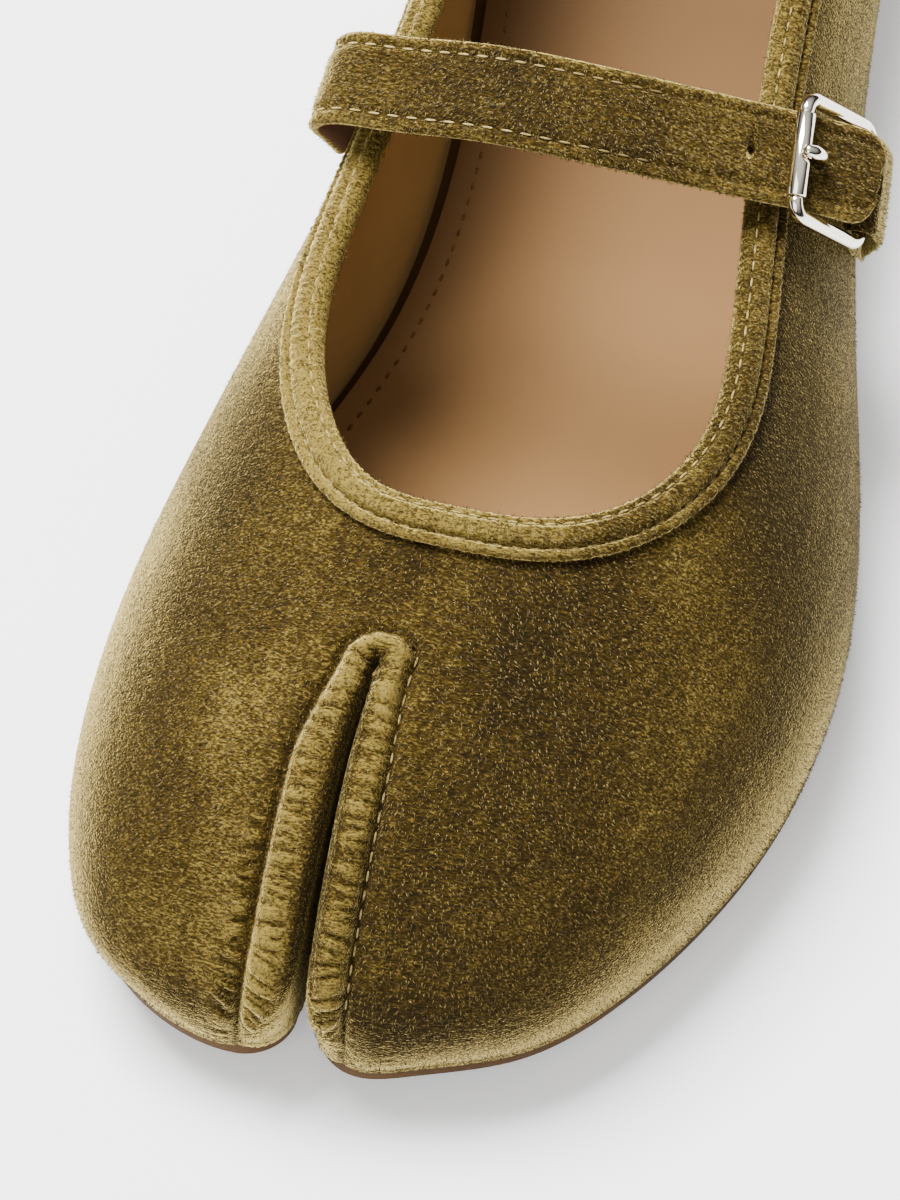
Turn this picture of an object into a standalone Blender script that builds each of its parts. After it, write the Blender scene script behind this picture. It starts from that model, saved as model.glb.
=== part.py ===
"""Left split-toe mary jane: hollow velvet upper, thin leather sole, low heel, instep strap and buckle.

Metres, +Z up. The toe points to -Y, the outer (lateral) side is +X and the floor is z = 0.
A station is the distance from the back of the heel towards the toe, along the shoe's axis.
"""

from collections import namedtuple

import bmesh
import bpy
import numpy as np

MM = 0.001

# Driving dimensions
SHOE_LENGTH = 245 * MM
BALL_WIDTH = 85 * MM
INSTEP_HEIGHT = 46 * MM
HEEL_HEIGHT = 12 * MM
SOLE_THICKNESS = 3.2 * MM
TOE_SPRING = 5.5 * MM
UPPER_WALL = 1.3 * MM
INSOLE_THICKNESS = 1.8 * MM
SEAT_GAP = 0.3 * MM

# The part's origin, on the floor below the middle of the whole shoe
FRAME_ACROSS = -0.11 * MM
FRAME_STATION = 120.42 * MM

MEDIAL, LATERAL = -1, 1

# Sections of the last, heel to toe. Stations are shares of the length, the half widths of the feather
# line are shares of the ball width, and the crowns are shares of the instep height. The two topline
# columns say how far up the section the collar is cut: 0 is the feather line and 1 the crown.
Section = namedtuple("Section", "station medial lateral crown_medial crown_lateral topline_medial topline_lateral bulge_medial bulge_lateral")
SECTIONS = (
    Section(0.014, 0.160, 0.160, 1.98, 1.98, 0.440, 0.440, 0.028, 0.028),
    Section(0.057, 0.272, 0.278, 1.84, 1.84, 0.460, 0.460, 0.028, 0.028),
    Section(0.155, 0.320, 0.330, 1.55, 1.50, 0.510, 0.530, 0.028, 0.028),
    Section(0.306, 0.292, 0.338, 1.42, 1.30, 0.500, 0.560, 0.038, 0.028),
    Section(0.441, 0.257, 0.361, 1.37, 1.19, 0.490, 0.590, 0.065, 0.028),
    Section(0.563, 0.282, 0.422, 1.30, 1.12, 0.500, 0.620, 0.088, 0.028),
    Section(0.661, 0.377, 0.484, 1.16, 1.06, 0.555, 0.640, 0.072, 0.028),
    Section(0.739, 0.464, 0.502, 1.04, 1.02, 0.660, 0.670, 0.040, 0.028),
    Section(0.800, 0.500, 0.472, 0.945, 0.945, 0.720, 0.710, 0.028, 0.028),
    Section(0.857, 0.501, 0.406, 0.85, 0.85, 0.760, 0.760, 0.028, 0.028),
    Section(0.914, 0.468, 0.306, 0.75, 0.75, 0.800, 0.800, 0.028, 0.028),
    Section(0.955, 0.392, 0.190, 0.66, 0.66, 0.800, 0.800, 0.028, 0.028),
)
# The rounded nose of each toe, past the last section, and how far forward it reaches.
Nose = namedtuple("Nose", "station across tip_station")
NOSES = {MEDIAL: Nose(0.979, -0.288, 0.985), LATERAL: Nose(0.977, 0.050, 0.984)}
# The centre line: the axis at the heel, the crown of the vamp, then the split between the toes.
Centre = namedtuple("Centre", "station across")
CENTRE_LINE = (
    Centre(0.000, 0.000),
    Centre(0.300, 0.000),
    Centre(0.560, -0.005),
    Centre(0.757, -0.034),
    Centre(0.832, -0.090),
    Centre(0.910, -0.109),
    Centre(1.000, -0.113),
)

# Form of the sections
SECTION_POWER = 0.88
HEEL_FAN_STATION = 0.115 * SHOE_LENGTH
TOE_CAP_LENGTH = 0.115 * SHOE_LENGTH
TOE_CAP_POWER = 2.4
SHOULDER_LIFT = 0.32

# Collar opening
THROAT_STATION = 0.764 * SHOE_LENGTH
THROAT_TURN_STATION = 0.635 * SHOE_LENGTH
THROAT_POWER = 2.6

# Split between the big toe and the other toes
SPLIT_ROOT_STATION = 0.832 * SHOE_LENGTH
SPLIT_ROOT_HALF_GAP = 0.4 * MM
SPLIT_TIP_HALF_GAP = 1.1 * MM
SPLIT_CORNER_RADIUS = 6.5 * MM
SPLIT_ROLL_WIDTH = 4.6 * MM
SPLIT_ROLL_HEIGHT = 0.9 * MM
SPLIT_EDGE_DROP = 0.6 * MM

# Sole and heel
SOLE_REACH = 0.6 * MM
TREAD_BACK_STATION = 0.600 * SHOE_LENGTH
TREAD_FRONT_STATION = 0.800 * SHOE_LENGTH
HEEL_SEAT_STATION = 0.240 * SHOE_LENGTH
HEEL_BREAST_STATION = 0.235 * SHOE_LENGTH
HEEL_BREAST_HOLLOW = 4.0 * MM
HEEL_INSET = 0.4 * MM
HEEL_TAPER = 0.95
INSOLE_INSET = UPPER_WALL + 1.5 * MM

# Section of the binding, in millimetres: down from the collar edge, and out from the upper's outer face.
BindingPoint = namedtuple("BindingPoint", "down out")
BINDING_SECTION = (
    BindingPoint(3.8, 0.3),
    BindingPoint(3.8, 0.8),
    BindingPoint(3.3, 1.25),
    BindingPoint(2.75, 1.2),
    BindingPoint(2.4, 0.85),
    BindingPoint(2.0, 1.25),
    BindingPoint(0.8, 1.4),
    BindingPoint(-0.6, 0.85),
    BindingPoint(-0.95, -0.5),
    BindingPoint(-0.55, -1.85),
    BindingPoint(0.7, -2.2),
    BindingPoint(1.9, -2.1),
    BindingPoint(1.9, -1.6),
    BindingPoint(-0.3, -1.6),
    BindingPoint(-0.3, 0.3),
)

# The middle of the strap's thickness, in millimetres, from the inner wall over the instep to its tip,
# and how far in degrees its toe side leans down and splays out.
StrapPoint = namedtuple("StrapPoint", "across station height lean splay")
STRAP_ROUTE = (
    StrapPoint(-28.2, 133.6, 42.6, 9, 6),
    StrapPoint(-29.8, 134.2, 46.4, 10, 6),
    StrapPoint(-30.3, 134.9, 49.4, 12, 5),
    StrapPoint(-28.6, 135.2, 51.7, 14, 3),
    StrapPoint(-24.0, 135.4, 52.9, 16, 1),
    StrapPoint(-12.0, 135.9, 55.4, 20, 0),
    StrapPoint(0.0, 136.2, 56.0, 20, 0),
    StrapPoint(12.0, 135.5, 54.2, 19, 0),
    StrapPoint(21.0, 134.0, 51.3, 17, 0),
    StrapPoint(27.2, 132.7, 49.0, 15, 0),
    StrapPoint(33.0, 131.8, 46.9, 14, 0),
    StrapPoint(36.1, 131.5, 45.7, 13, 0),
)
STRAP_WIDTH = 11.8 * MM
STRAP_THICKNESS = 2.0 * MM
STRAP_TIP_LENGTH = 2.8 * MM
STRAP_COLUMNS = 38
STRAP_TIP_COLUMNS = 5
SPARE_HOLE_ACROSS = 20.7 * MM
SPARE_HOLE_RADIUS = 0.9 * MM

# Buckle
ROLLER_ACROSS = 25.9 * MM
ROLLER_RADIUS = 1.2 * MM
ROLLER_BORE = 0.85 * MM
ROLLER_END_PLAY = 0.25 * MM
WIRE_RADIUS = 0.9 * MM
ROLLER_BAR_RADIUS = 0.55 * MM
FRAME_INSIDE = 12.6 * MM
FRAME_REACH = 13.5 * MM
FRAME_CORNER = 1.8 * MM
FRAME_DIVE = 33.0
# The prong in the middle of the frame, in millimetres: from the far bar's loop to its tip on the roller.
ProngPoint = namedtuple("ProngPoint", "along up radius")
PRONG_ROUTE = (
    ProngPoint(10.8, 0.40, 0.60),
    ProngPoint(8.6, -0.35, 0.75),
    ProngPoint(5.6, -0.60, 0.80),
    ProngPoint(3.6, 0.10, 0.80),
    ProngPoint(2.2, 1.35, 0.80),
    ProngPoint(1.1, 2.20, 0.80),
    ProngPoint(0.1, 2.45, 0.80),
    ProngPoint(-0.5, 2.45, 0.60),
    ProngPoint(-0.8, 2.42, 0.25),
)
PRONG_LOOP_RADIUS = 0.45 * MM
PRONG_CLEARANCE = 0.35 * MM

# Tab that holds the buckle's far bar: a strip sewn to the outer wall and folded round the bar.
TAB_WIDTH = 11.8 * MM
TAB_BASE_WIDTH = 9.6 * MM
TAB_THICKNESS = 1.1 * MM
TAB_NOTCH = 2.2 * MM
TAB_WALL_HEIGHTS = tuple(height * MM for height in (23.5, 25.5, 27.5, 29.5))
# Its free part, in millimetres out from and up from the far bar: up inside the bar, then down outside it.
TabPoint = namedtuple("TabPoint", "out up")
TAB_INSIDE = (TabPoint(-0.7, -10.0), TabPoint(-1.45, -5.0))
TAB_OUTSIDE = (TabPoint(2.5, -2.8), TabPoint(2.5, -6.5), TabPoint(1.7, -10.5))

# Rows and columns of the faceted forms
HEEL_COLUMNS = 8
SIDE_COLUMNS = 9
THROAT_COLUMNS = 9
VAMP_COLUMNS = 4
TOE_COLUMNS = 13
SIDE_ROWS = 5
TOP_ROWS = 4
EDGE_ROWS = tuple(distance * MM for distance in (6.5, 4.6, 2.4, 0.0))
SPLIT_WALL_ROWS = 3
PLATE_ROWS = 2
HEEL_SIDE_COLUMNS = 4
TAB_ROWS = 5
ROUND_STEPS = 10
CURVE_SAMPLES = 400
SLOPE_STEP = 0.003
MERGE = 0.002 * MM


def unit(vector):
    vector = np.asarray(vector, float)
    return vector / np.linalg.norm(vector, axis=-1, keepdims=True)


def square_to(vector, axis):
    """The unit part of a vector that stands square to a unit axis."""
    return unit(vector - axis * np.sum(vector * axis, axis=-1, keepdims=True))


def run_along(points):
    """Distance along a polyline at each of its points."""
    return np.concatenate([[0], np.cumsum(np.linalg.norm(np.diff(points, axis=0), axis=1))])


def at_position(position, positions, rows):
    """Rows of several columns, linearly between the listed positions."""
    return np.stack([np.interp(position, positions, rows[:, k]) for k in range(rows.shape[1])], axis=-1)


def natural_spline(knots, values, at):
    """Natural cubic through the values at the knots; the values may be rows of several columns."""
    knots = np.asarray(knots, float)
    values = np.asarray(values, float)
    at = np.asarray(at, float)
    count = len(knots)
    step = np.diff(knots)
    system = np.eye(count)
    bend = np.zeros(values.shape)
    for i in range(1, count - 1):
        system[i, i - 1 : i + 2] = step[i - 1], 2 * (step[i - 1] + step[i]), step[i]
        bend[i] = 6 * ((values[i + 1] - values[i]) / step[i] - (values[i] - values[i - 1]) / step[i - 1])
    curve = np.linalg.solve(system, bend)
    i = np.clip(np.searchsorted(knots, at, side="right") - 1, 0, count - 2)
    width = step[i]
    after = at - knots[i]
    before = knots[i + 1] - at
    if values.ndim > 1:
        width, after, before = width[..., None], after[..., None], before[..., None]
    cubic = (curve[i] * before**3 + curve[i + 1] * after**3) / (6 * width)
    straight = (values[i] * before + values[i + 1] * after) / width
    return cubic + straight - width * (curve[i] * before + curve[i + 1] * after) / 6


def section_value(column, station):
    """A column of the section table, at any station."""
    rows = [row.station * SHOE_LENGTH for row in SECTIONS]
    at = np.clip(station, rows[0], rows[-1])
    return natural_spline(rows, [getattr(row, column) for row in SECTIONS], at)


def side_value(column, side, station):
    """A medial or lateral column of the section table."""
    return section_value(column + ("_medial" if side == MEDIAL else "_lateral"), station)


def smooth_step(share):
    share = np.clip(share, 0, 1)
    return share * share * (3 - 2 * share)


def sole_top(station):
    """Height of the sole's upper face: heel seat, arch, flat tread and toe spring."""
    arch = (TREAD_BACK_STATION - station) / (TREAD_BACK_STATION - HEEL_SEAT_STATION)
    toe = np.clip((station - TREAD_FRONT_STATION) / (SHOE_LENGTH - TREAD_FRONT_STATION), 0, None)
    return SOLE_THICKNESS + HEEL_HEIGHT * smooth_step(arch) + TOE_SPRING * toe**1.8


def sole_bottom(station):
    return sole_top(station) - SOLE_THICKNESS


def feather_height(station):
    """Height of the upper's and the insole's lower edge, just clear of the sole."""
    return sole_top(station) + SEAT_GAP


def insole_top(station):
    return feather_height(station) + INSOLE_THICKNESS


def centre_across(station):
    rows = [row.station * SHOE_LENGTH for row in CENTRE_LINE]
    return natural_spline(rows, [row.across * BALL_WIDTH for row in CENTRE_LINE], station)


def tip_point(side):
    """The foremost point of one toe, where its outer curve meets the rounded corner of the split."""
    station = NOSES[side].tip_station * SHOE_LENGTH
    across = centre_across(station) + side * (SPLIT_TIP_HALF_GAP + SPLIT_CORNER_RADIUS)
    return np.array([across, station])


def outward_of(curve, side):
    """Unit normals of a plan curve that runs from heel to toe, pointing away from the foot."""
    tangent = unit(np.gradient(curve, axis=0))
    outward = side * np.stack([tangent[:, 1], -tangent[:, 0]], axis=1)
    outward[0] = 0, -1
    outward[-1] = 0, 1
    return outward


def feather_outline(side, inset=0.0):
    """Plan curve (across, station) of one side of the feather line, heel back to toe tip, moved in by inset."""
    column = "medial" if side == MEDIAL else "lateral"
    sections = [(side * getattr(row, column) * BALL_WIDTH, row.station * SHOE_LENGTH) for row in SECTIONS]
    nose = (NOSES[side].across * BALL_WIDTH, NOSES[side].station * SHOE_LENGTH)
    tip = tip_point(side)
    past_heel = (-sections[0][0], sections[0][1])
    past_tip = (2 * tip[0] - nose[0], nose[1])
    points = np.array([past_heel, (0.0, 0.0), *sections, nose, tip, past_tip])
    along = run_along(points)
    curve = natural_spline(along, points, np.linspace(along[1], along[-2], CURVE_SAMPLES))
    return curve - inset * outward_of(curve, side)


def split_edge(side, station, inset=0.0, split_inset=0.0):
    """Across position of one toe's wall in the split, with its rounded root and its rounded front corner."""
    share = np.clip((station - SPLIT_ROOT_STATION) / (SHOE_LENGTH - SPLIT_ROOT_STATION), 0, 1)
    gap = SPLIT_ROOT_HALF_GAP + (SPLIT_TIP_HALF_GAP - SPLIT_ROOT_HALF_GAP) * share
    root_radius = SPLIT_ROOT_HALF_GAP + split_inset
    short = np.clip(1 - (station - SPLIT_ROOT_STATION + split_inset) / root_radius, 0, 1)
    wall = (gap + split_inset) * np.sqrt(1 - short**2)
    radius = SPLIT_CORNER_RADIUS - inset
    past = np.clip(station - (tip_point(side)[1] - SPLIT_CORNER_RADIUS), 0, radius)
    corner = SPLIT_TIP_HALF_GAP + SPLIT_CORNER_RADIUS - np.sqrt(radius**2 - past**2)
    return centre_across(station) + side * np.where(past > 0, np.maximum(wall, corner), wall)


def column_shares(outline, split_inset=0.0):
    """Where the columns stand along an outline: round the heel, up the sides, round the throat, on to the toe tip."""
    root = SPLIT_ROOT_STATION - split_inset
    toe_start = root + SPLIT_ROOT_HALF_GAP + split_inset
    side_stations = np.linspace(HEEL_FAN_STATION, THROAT_TURN_STATION, SIDE_COLUMNS + 1)[1:]
    turn = np.sin(np.linspace(0, np.pi / 2, THROAT_COLUMNS + 1))[1:]
    throat = THROAT_TURN_STATION + (THROAT_STATION - THROAT_TURN_STATION) * turn
    vamp = np.linspace(THROAT_STATION, root, VAMP_COLUMNS + 1)[1:]
    toe = toe_start + (outline[-1, 1] - toe_start) * np.sin(np.linspace(0, np.pi / 2, TOE_COLUMNS))
    stations = np.concatenate([[HEEL_FAN_STATION], side_stations, throat, vamp, toe])
    forward = np.interp(stations, outline[:, 1], np.linspace(0, 1, len(outline)))
    return np.concatenate([np.linspace(0, forward[0], HEEL_COLUMNS)[:-1], forward])


def columns(side, inset=0.0, split_inset=0.0):
    """The columns of one side, heel back to toe tip: outer and inner plan points and the outward normal."""
    outline = feather_outline(side, inset)
    shares = column_shares(outline, split_inset)
    outer = at_position(shares, np.linspace(0, 1, len(outline)), outline)
    normal = at_position(shares, np.linspace(0, 1, len(outline)), outward_of(outline, side))
    inner_station = np.maximum(outer[:, 1], HEEL_FAN_STATION)
    in_split = np.arange(len(shares)) >= len(shares) - TOE_COLUMNS
    across = np.where(in_split, split_edge(side, outer[:, 1], inset, split_inset), centre_across(inner_station))
    across[-1] = outer[-1, 0]
    return outer, np.stack([across, inner_station], axis=1), normal


def throat_turn(station):
    """Share of the way round the throat, from where the collar starts to turn in to its middle."""
    return np.clip((station - THROAT_TURN_STATION) / (THROAT_STATION - THROAT_TURN_STATION), 0, 1)


def crown_height(side, station):
    """Height that a section rises to, each side with its own behind the throat and both with one before it."""
    own, other = (side_value("crown", s, station) for s in (side, -side))
    return INSTEP_HEIGHT * (own + 0.5 * smooth_step(throat_turn(station)) * (other - own))


def topline_share(side, station):
    """How far up its section the collar cuts a column, closing round the throat."""
    share = side_value("topline", side, station)
    return 1 - (1 - share) * (1 - throat_turn(station) ** THROAT_POWER) ** (1 / THROAT_POWER)


def toe_cap(side, station):
    """Share of the crown height left as the toe rounds down to its tip."""
    start = tip_point(side)[1] - TOE_CAP_LENGTH
    past = np.clip((station - start) / TOE_CAP_LENGTH, 0, 1)
    return (1 - past**TOE_CAP_POWER) ** (1 / TOE_CAP_POWER)


def upper_column(side, outer, inner, normal, top):
    """One column of the upper's outer face, from the feather line up to the collar, crown or split."""
    station = outer[1]
    foot = feather_height(station)
    cap = toe_cap(side, station)
    rise = (crown_height(side, station) - foot) * cap
    lift = np.linspace(0, top, CURVE_SAMPLES)
    angle = lift * np.pi / 2
    inward = 1 - np.cos(angle) ** SECTION_POWER
    swell = BALL_WIDTH * side_value("bulge", side, station) * cap * 6.75 * lift * (1 - lift) ** 2
    plan = outer + np.outer(inward, inner - outer) + np.outer(swell, normal)
    height = foot + rise * np.sin(angle) ** SECTION_POWER
    return np.column_stack([plan, height])


def column_at(side, share, top=None):
    """The column of the upper's outer face at a share of the side's outline, behind the split, up to its collar."""
    outline = feather_outline(side)
    shares = np.linspace(0, 1, len(outline))
    outer = at_position(share, shares, outline)
    station = max(outer[1], HEEL_FAN_STATION)
    inner = np.array([centre_across(station), station])
    top = topline_share(side, outer[1]) if top is None else top
    return upper_column(side, outer, inner, at_position(share, shares, outward_of(outline, side)), top)


def outer_wall_point(station, height):
    """A point of the upper's lateral face, at a station and a height below the collar."""
    outline = feather_outline(LATERAL)
    curve = column_at(LATERAL, np.interp(station, outline[:, 1], np.linspace(0, 1, len(outline))))
    return at_position(height, curve[:, 2], curve)


def collar_rows(curve, top):
    """A column's rows at set lifts, those past the collar drawn back to it."""
    side = np.linspace(0, SHOULDER_LIFT, SIDE_ROWS + 1)[:-1]
    over = np.linspace(SHOULDER_LIFT, 1, TOP_ROWS + len(EDGE_ROWS))
    lifts = np.minimum(np.concatenate([side, over]), top)
    return at_position(lifts, np.linspace(0, top, len(curve)), curve)


def edged_rows(curve):
    """A column's rows, up the side, over the top and at set distances from its edge, and their distances from it."""
    run = run_along(curve)
    edge = run[-1] - np.array(EDGE_ROWS) * min(1, 0.4 * run[-1] / EDGE_ROWS[0])
    shoulder = np.interp(SHOULDER_LIFT, np.linspace(0, 1, len(run)), run)
    side = np.linspace(0, shoulder, SIDE_ROWS + 1)[:-1]
    over = np.linspace(shoulder, edge[0], TOP_ROWS + 1)[:-1]
    distances = np.concatenate([side, over, edge])
    return at_position(distances, run, curve), run[-1] - distances


def split_roll(distance):
    """Height of the rolled, stitched edge beside the split."""
    roll = SPLIT_ROLL_HEIGHT * np.sin(np.pi * np.clip(distance / SPLIT_ROLL_WIDTH, 0, 1))
    return roll - SPLIT_EDGE_DROP * np.clip(1 - 4 * distance / SPLIT_ROLL_WIDTH, 0, 1)


def to_frame(points):
    """From (across, station, height) to the part's own frame."""
    points = np.asarray(points, float)
    return np.stack([points[..., 0] - FRAME_ACROSS, FRAME_STATION - points[..., 1], points[..., 2]], axis=-1)


def grid_faces(column_count, row_count, side):
    """Quads of a grid of columns, facing outwards on the given side."""
    faces = []
    for i in range(column_count - 1):
        for j in range(row_count - 1):
            a = i * row_count + j
            quad = (a, a + row_count, a + row_count + 1, a + 1)
            faces.append(quad if side == MEDIAL else quad[::-1])
    return faces


def material(name, colour, roughness, metallic=0.0):
    surface = bpy.data.materials.new(name)
    surface.use_nodes = True
    shader = surface.node_tree.nodes["Principled BSDF"]
    shader.inputs["Base Color"].default_value = (*colour, 1.0)
    shader.inputs["Roughness"].default_value = roughness
    shader.inputs["Metallic"].default_value = metallic
    return surface


def merge(made):
    """Join points that lie on each other, and drop the faces and points that this leaves without use."""
    bmesh.ops.remove_doubles(made, verts=made.verts, dist=MERGE)
    bmesh.ops.dissolve_degenerate(made, edges=made.edges, dist=MERGE)
    loose = [vert for vert in made.verts if not vert.link_faces]
    bmesh.ops.delete(made, geom=loose, context="VERTS")


def mesh_object(name, made, surface):
    mesh = bpy.data.meshes.new(name)
    made.to_mesh(mesh)
    made.free()
    mesh.materials.append(surface)
    part = bpy.data.objects.new(name, mesh)
    bpy.context.collection.objects.link(part)
    return part


def swept_object(name, rings, closed, surface):
    """A solid from rings of points: joined end to start, or closed with flat ends."""
    made = bmesh.new()
    rows = [[made.verts.new(point) for point in ring] for ring in rings]
    count = len(rows[0])
    ahead = rows[1:] + rows[:1] if closed else rows[1:]
    for near, far in zip(rows, ahead):
        for j in range(count):
            k = (j + 1) % count
            made.faces.new((near[j], near[k], far[k], far[j]))
    if not closed:
        made.faces.new(rows[0][::-1])
        made.faces.new(rows[-1])
    bmesh.ops.recalc_face_normals(made, faces=made.faces)
    return mesh_object(name, made, surface)


def tube_rings(path, radii, axis, closed):
    """Round rings along a flat path whose plane stands square to the axis."""
    if closed:
        tangent = unit(np.roll(path, -1, axis=0) - np.roll(path, 1, axis=0))
    else:
        tangent = unit(np.gradient(path, axis=0))
    beside = np.cross(axis, tangent)
    turn = np.arange(ROUND_STEPS) * 2 * np.pi / ROUND_STEPS
    circle = np.cos(turn)[:, None] * beside[:, None] + np.sin(turn)[:, None] * axis
    return path[:, None] + np.asarray(radii)[:, None, None] * circle


def cut(target, cutter):
    cutter.hide_render = True
    cutter.display_type = "WIRE"
    step = target.modifiers.new("cut by " + cutter.name, "BOOLEAN")
    step.operation = "DIFFERENCE"
    step.solver = "EXACT"
    step.object = cutter


def build_upper(surface):
    """One hollow solid: both sides and the walls of the split, then a wall of even thickness inside them."""
    made = bmesh.new()
    roll_height = made.verts.layers.float.new("roll height")
    root = np.array([centre_across(SPLIT_ROOT_STATION), SPLIT_ROOT_STATION])
    edge_row = SIDE_ROWS + TOP_ROWS + len(EDGE_ROWS) - 1
    down = np.linspace(0, 1, SPLIT_WALL_ROWS + 1)[1:, None]
    for side in (MEDIAL, LATERAL):
        outer, inner, normal = columns(side)
        first_toe = len(outer) - TOE_COLUMNS
        verts = []
        for k in range(len(outer)):
            top = topline_share(side, outer[k, 1])
            curve = upper_column(side, outer[k], inner[k], normal[k], top)
            rows, to_edge = edged_rows(curve)
            if k < HEEL_COLUMNS + SIDE_COLUMNS + THROAT_COLUMNS:
                rows = collar_rows(curve, top)
            if k < first_toe:
                to_edge = np.linalg.norm(rows[:, :2] - root, axis=1)
            heights = np.sqrt(toe_cap(side, outer[k, 1])) * split_roll(to_edge)
            foot = np.array([*inner[k], feather_height(outer[k, 1])])
            wall = rows[-1] + down * (foot - rows[-1])
            for point, height in zip(to_frame(rows), heights):
                vert = made.verts.new(point)
                vert[roll_height] = height
                verts.append(vert)
            verts += [made.verts.new(point) for point in to_frame(wall)]
        count = len(verts) // len(outer)
        for face in grid_faces(len(outer), count, side):
            column, row = divmod(min(face), count)
            if row < edge_row or column >= first_toe - 1:
                made.faces.new([verts[i] for i in face])
    merge(made)
    made.normal_update()
    shifts = [vert.normal * vert[roll_height] for vert in made.verts]
    for vert, shift in zip(made.verts, shifts):
        vert.co += shift
    upper = mesh_object("upper", made, surface)
    shell = upper.modifiers.new("wall thickness", "SOLIDIFY")
    shell.thickness = UPPER_WALL
    shell.offset = -1
    shell.use_even_offset = True
    shell.use_rim = True
    return upper


def extrude_to(made, move):
    """Give a flat sheet its thickness: extrude it and place each new point with move."""
    grown = bmesh.ops.extrude_face_region(made, geom=made.faces[:], use_keep_orig=True)
    for item in grown["geom"]:
        if isinstance(item, bmesh.types.BMVert):
            item.co = move(item.co)
    bmesh.ops.recalc_face_normals(made, faces=made.faces)


def build_plate(name, surface, inset, split_inset, top, bottom):
    """A sole layer: both sides in plan at the top height, extruded down to the bottom height."""
    made = bmesh.new()
    across = np.linspace(0, 1, PLATE_ROWS + 1)[:, None]
    for side in (MEDIAL, LATERAL):
        outer, inner, normal = columns(side, inset, split_inset)
        verts = []
        for k in range(len(outer)):
            plan = outer[k] + across * (inner[k] - outer[k])
            points = np.column_stack([plan, top(plan[:, 1])])
            verts += [made.verts.new(point) for point in to_frame(points)]
        for face in grid_faces(len(outer), PLATE_ROWS + 1, side):
            made.faces.new([verts[i] for i in face])
    merge(made)
    extrude_to(made, lambda at: (at.x, at.y, bottom(FRAME_STATION - at.y)))
    return mesh_object(name, made, surface)


def build_heel(surface):
    """A low block under the seat, with a hollow breast and a slight taper to the floor."""
    made = bmesh.new()
    top = HEEL_HEIGHT - SEAT_GAP
    reach = HEEL_BREAST_STATION - HEEL_FAN_STATION
    for side in (MEDIAL, LATERAL):
        outline = feather_outline(side, HEEL_INSET)
        fan = np.interp(HEEL_FAN_STATION, outline[:, 1], np.arange(len(outline)))
        forward = np.linspace(HEEL_FAN_STATION, HEEL_BREAST_STATION, HEEL_SIDE_COLUMNS + 1)[1:]
        round_back = at_position(np.linspace(0, fan, HEEL_COLUMNS), np.arange(len(outline)), outline)
        outer = np.concatenate([round_back, at_position(forward, outline[:, 1], outline)])
        past = np.clip((outer[:, 1] - HEEL_FAN_STATION) / reach, 0, 1)
        verts = []
        for point, share in zip(outer, past):
            inner = (0.0, HEEL_FAN_STATION + share * (reach - HEEL_BREAST_HOLLOW), top)
            verts += [made.verts.new(at) for at in to_frame([(*point, top), inner])]
        for face in grid_faces(len(outer), 2, side):
            made.faces.new([verts[i] for i in face])
    merge(made)
    middle = to_frame([0.0, HEEL_FAN_STATION, 0.0])
    narrow = 1 - HEEL_TAPER
    extrude_to(made, lambda at: (at.x + narrow * (middle[0] - at.x), at.y + narrow * (middle[1] - at.y), 0.0))
    return mesh_object("heel", made, surface)


def collar_edge():
    """The collar edge as a closed loop, and at each point the ways down the upper's face and out of it."""
    loop, out = [], []
    for side in (MEDIAL, LATERAL):
        outline = feather_outline(side)
        shares = column_shares(outline)[: HEEL_COLUMNS + SIDE_COLUMNS + THROAT_COLUMNS]
        for share in shares if side == MEDIAL else shares[-2:0:-1]:
            top = topline_share(side, np.interp(share, np.linspace(0, 1, len(outline)), outline[:, 1]))
            here = to_frame(column_at(side, share))
            behind = to_frame(column_at(side, max(share - SLOPE_STEP, 0), top)[-1])
            ahead = to_frame(column_at(side, share + SLOPE_STEP, top)[-1])
            loop.append(here[-1])
            out.append(unit(-side * np.cross(ahead - behind, here[-1] - here[-2])))
    loop = np.array(loop)
    tangent = unit(np.roll(loop, -1, axis=0) - np.roll(loop, 1, axis=0))
    out = square_to(np.array(out), tangent)
    return loop, np.cross(tangent, out), out


def build_binding(surface):
    """The folded strip on the collar edge, its outer lip ridged by a stitched groove."""
    loop, down, out = collar_edge()
    section = np.array(BINDING_SECTION) * MM
    rings = loop[:, None] + section[:, :1] * down[:, None] + section[:, 1:] * out[:, None]
    return swept_object("topline_binding", rings, True, surface)


def strap_line():
    """The strap's middle line, the way along it, the way across it towards the toe, and the way out of it."""
    route = np.array(STRAP_ROUTE, float)
    along = run_along(route[:, :3])
    tip_start = along[-1] - STRAP_TIP_LENGTH / MM
    tip_turn = np.sin(np.linspace(0, np.pi / 2, STRAP_TIP_COLUMNS + 1))[1:]
    at = np.concatenate([np.linspace(0, tip_start, STRAP_COLUMNS), tip_start + (along[-1] - tip_start) * tip_turn])
    run = natural_spline(along, route, at)
    line = to_frame(run[:, :3] * MM)
    ahead = unit(np.gradient(line, axis=0))
    lean, splay = np.radians(run[:, 3:]).T
    beside = square_to(np.stack([-np.sin(splay), -np.cos(lean), -np.sin(lean)], axis=1), ahead)
    return line, ahead, beside, np.cross(beside, ahead)


def strap_at(across):
    """The strap's own frame where its middle line passes a position across the shoe."""
    line, ahead, beside, out = strap_line()
    point, ahead, beside = (at_position(across - FRAME_ACROSS, line[:, 0], rows) for rows in (line, ahead, beside))
    ahead = unit(ahead)
    beside = square_to(beside, ahead)
    return point, ahead, beside, np.cross(beside, ahead)


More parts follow.
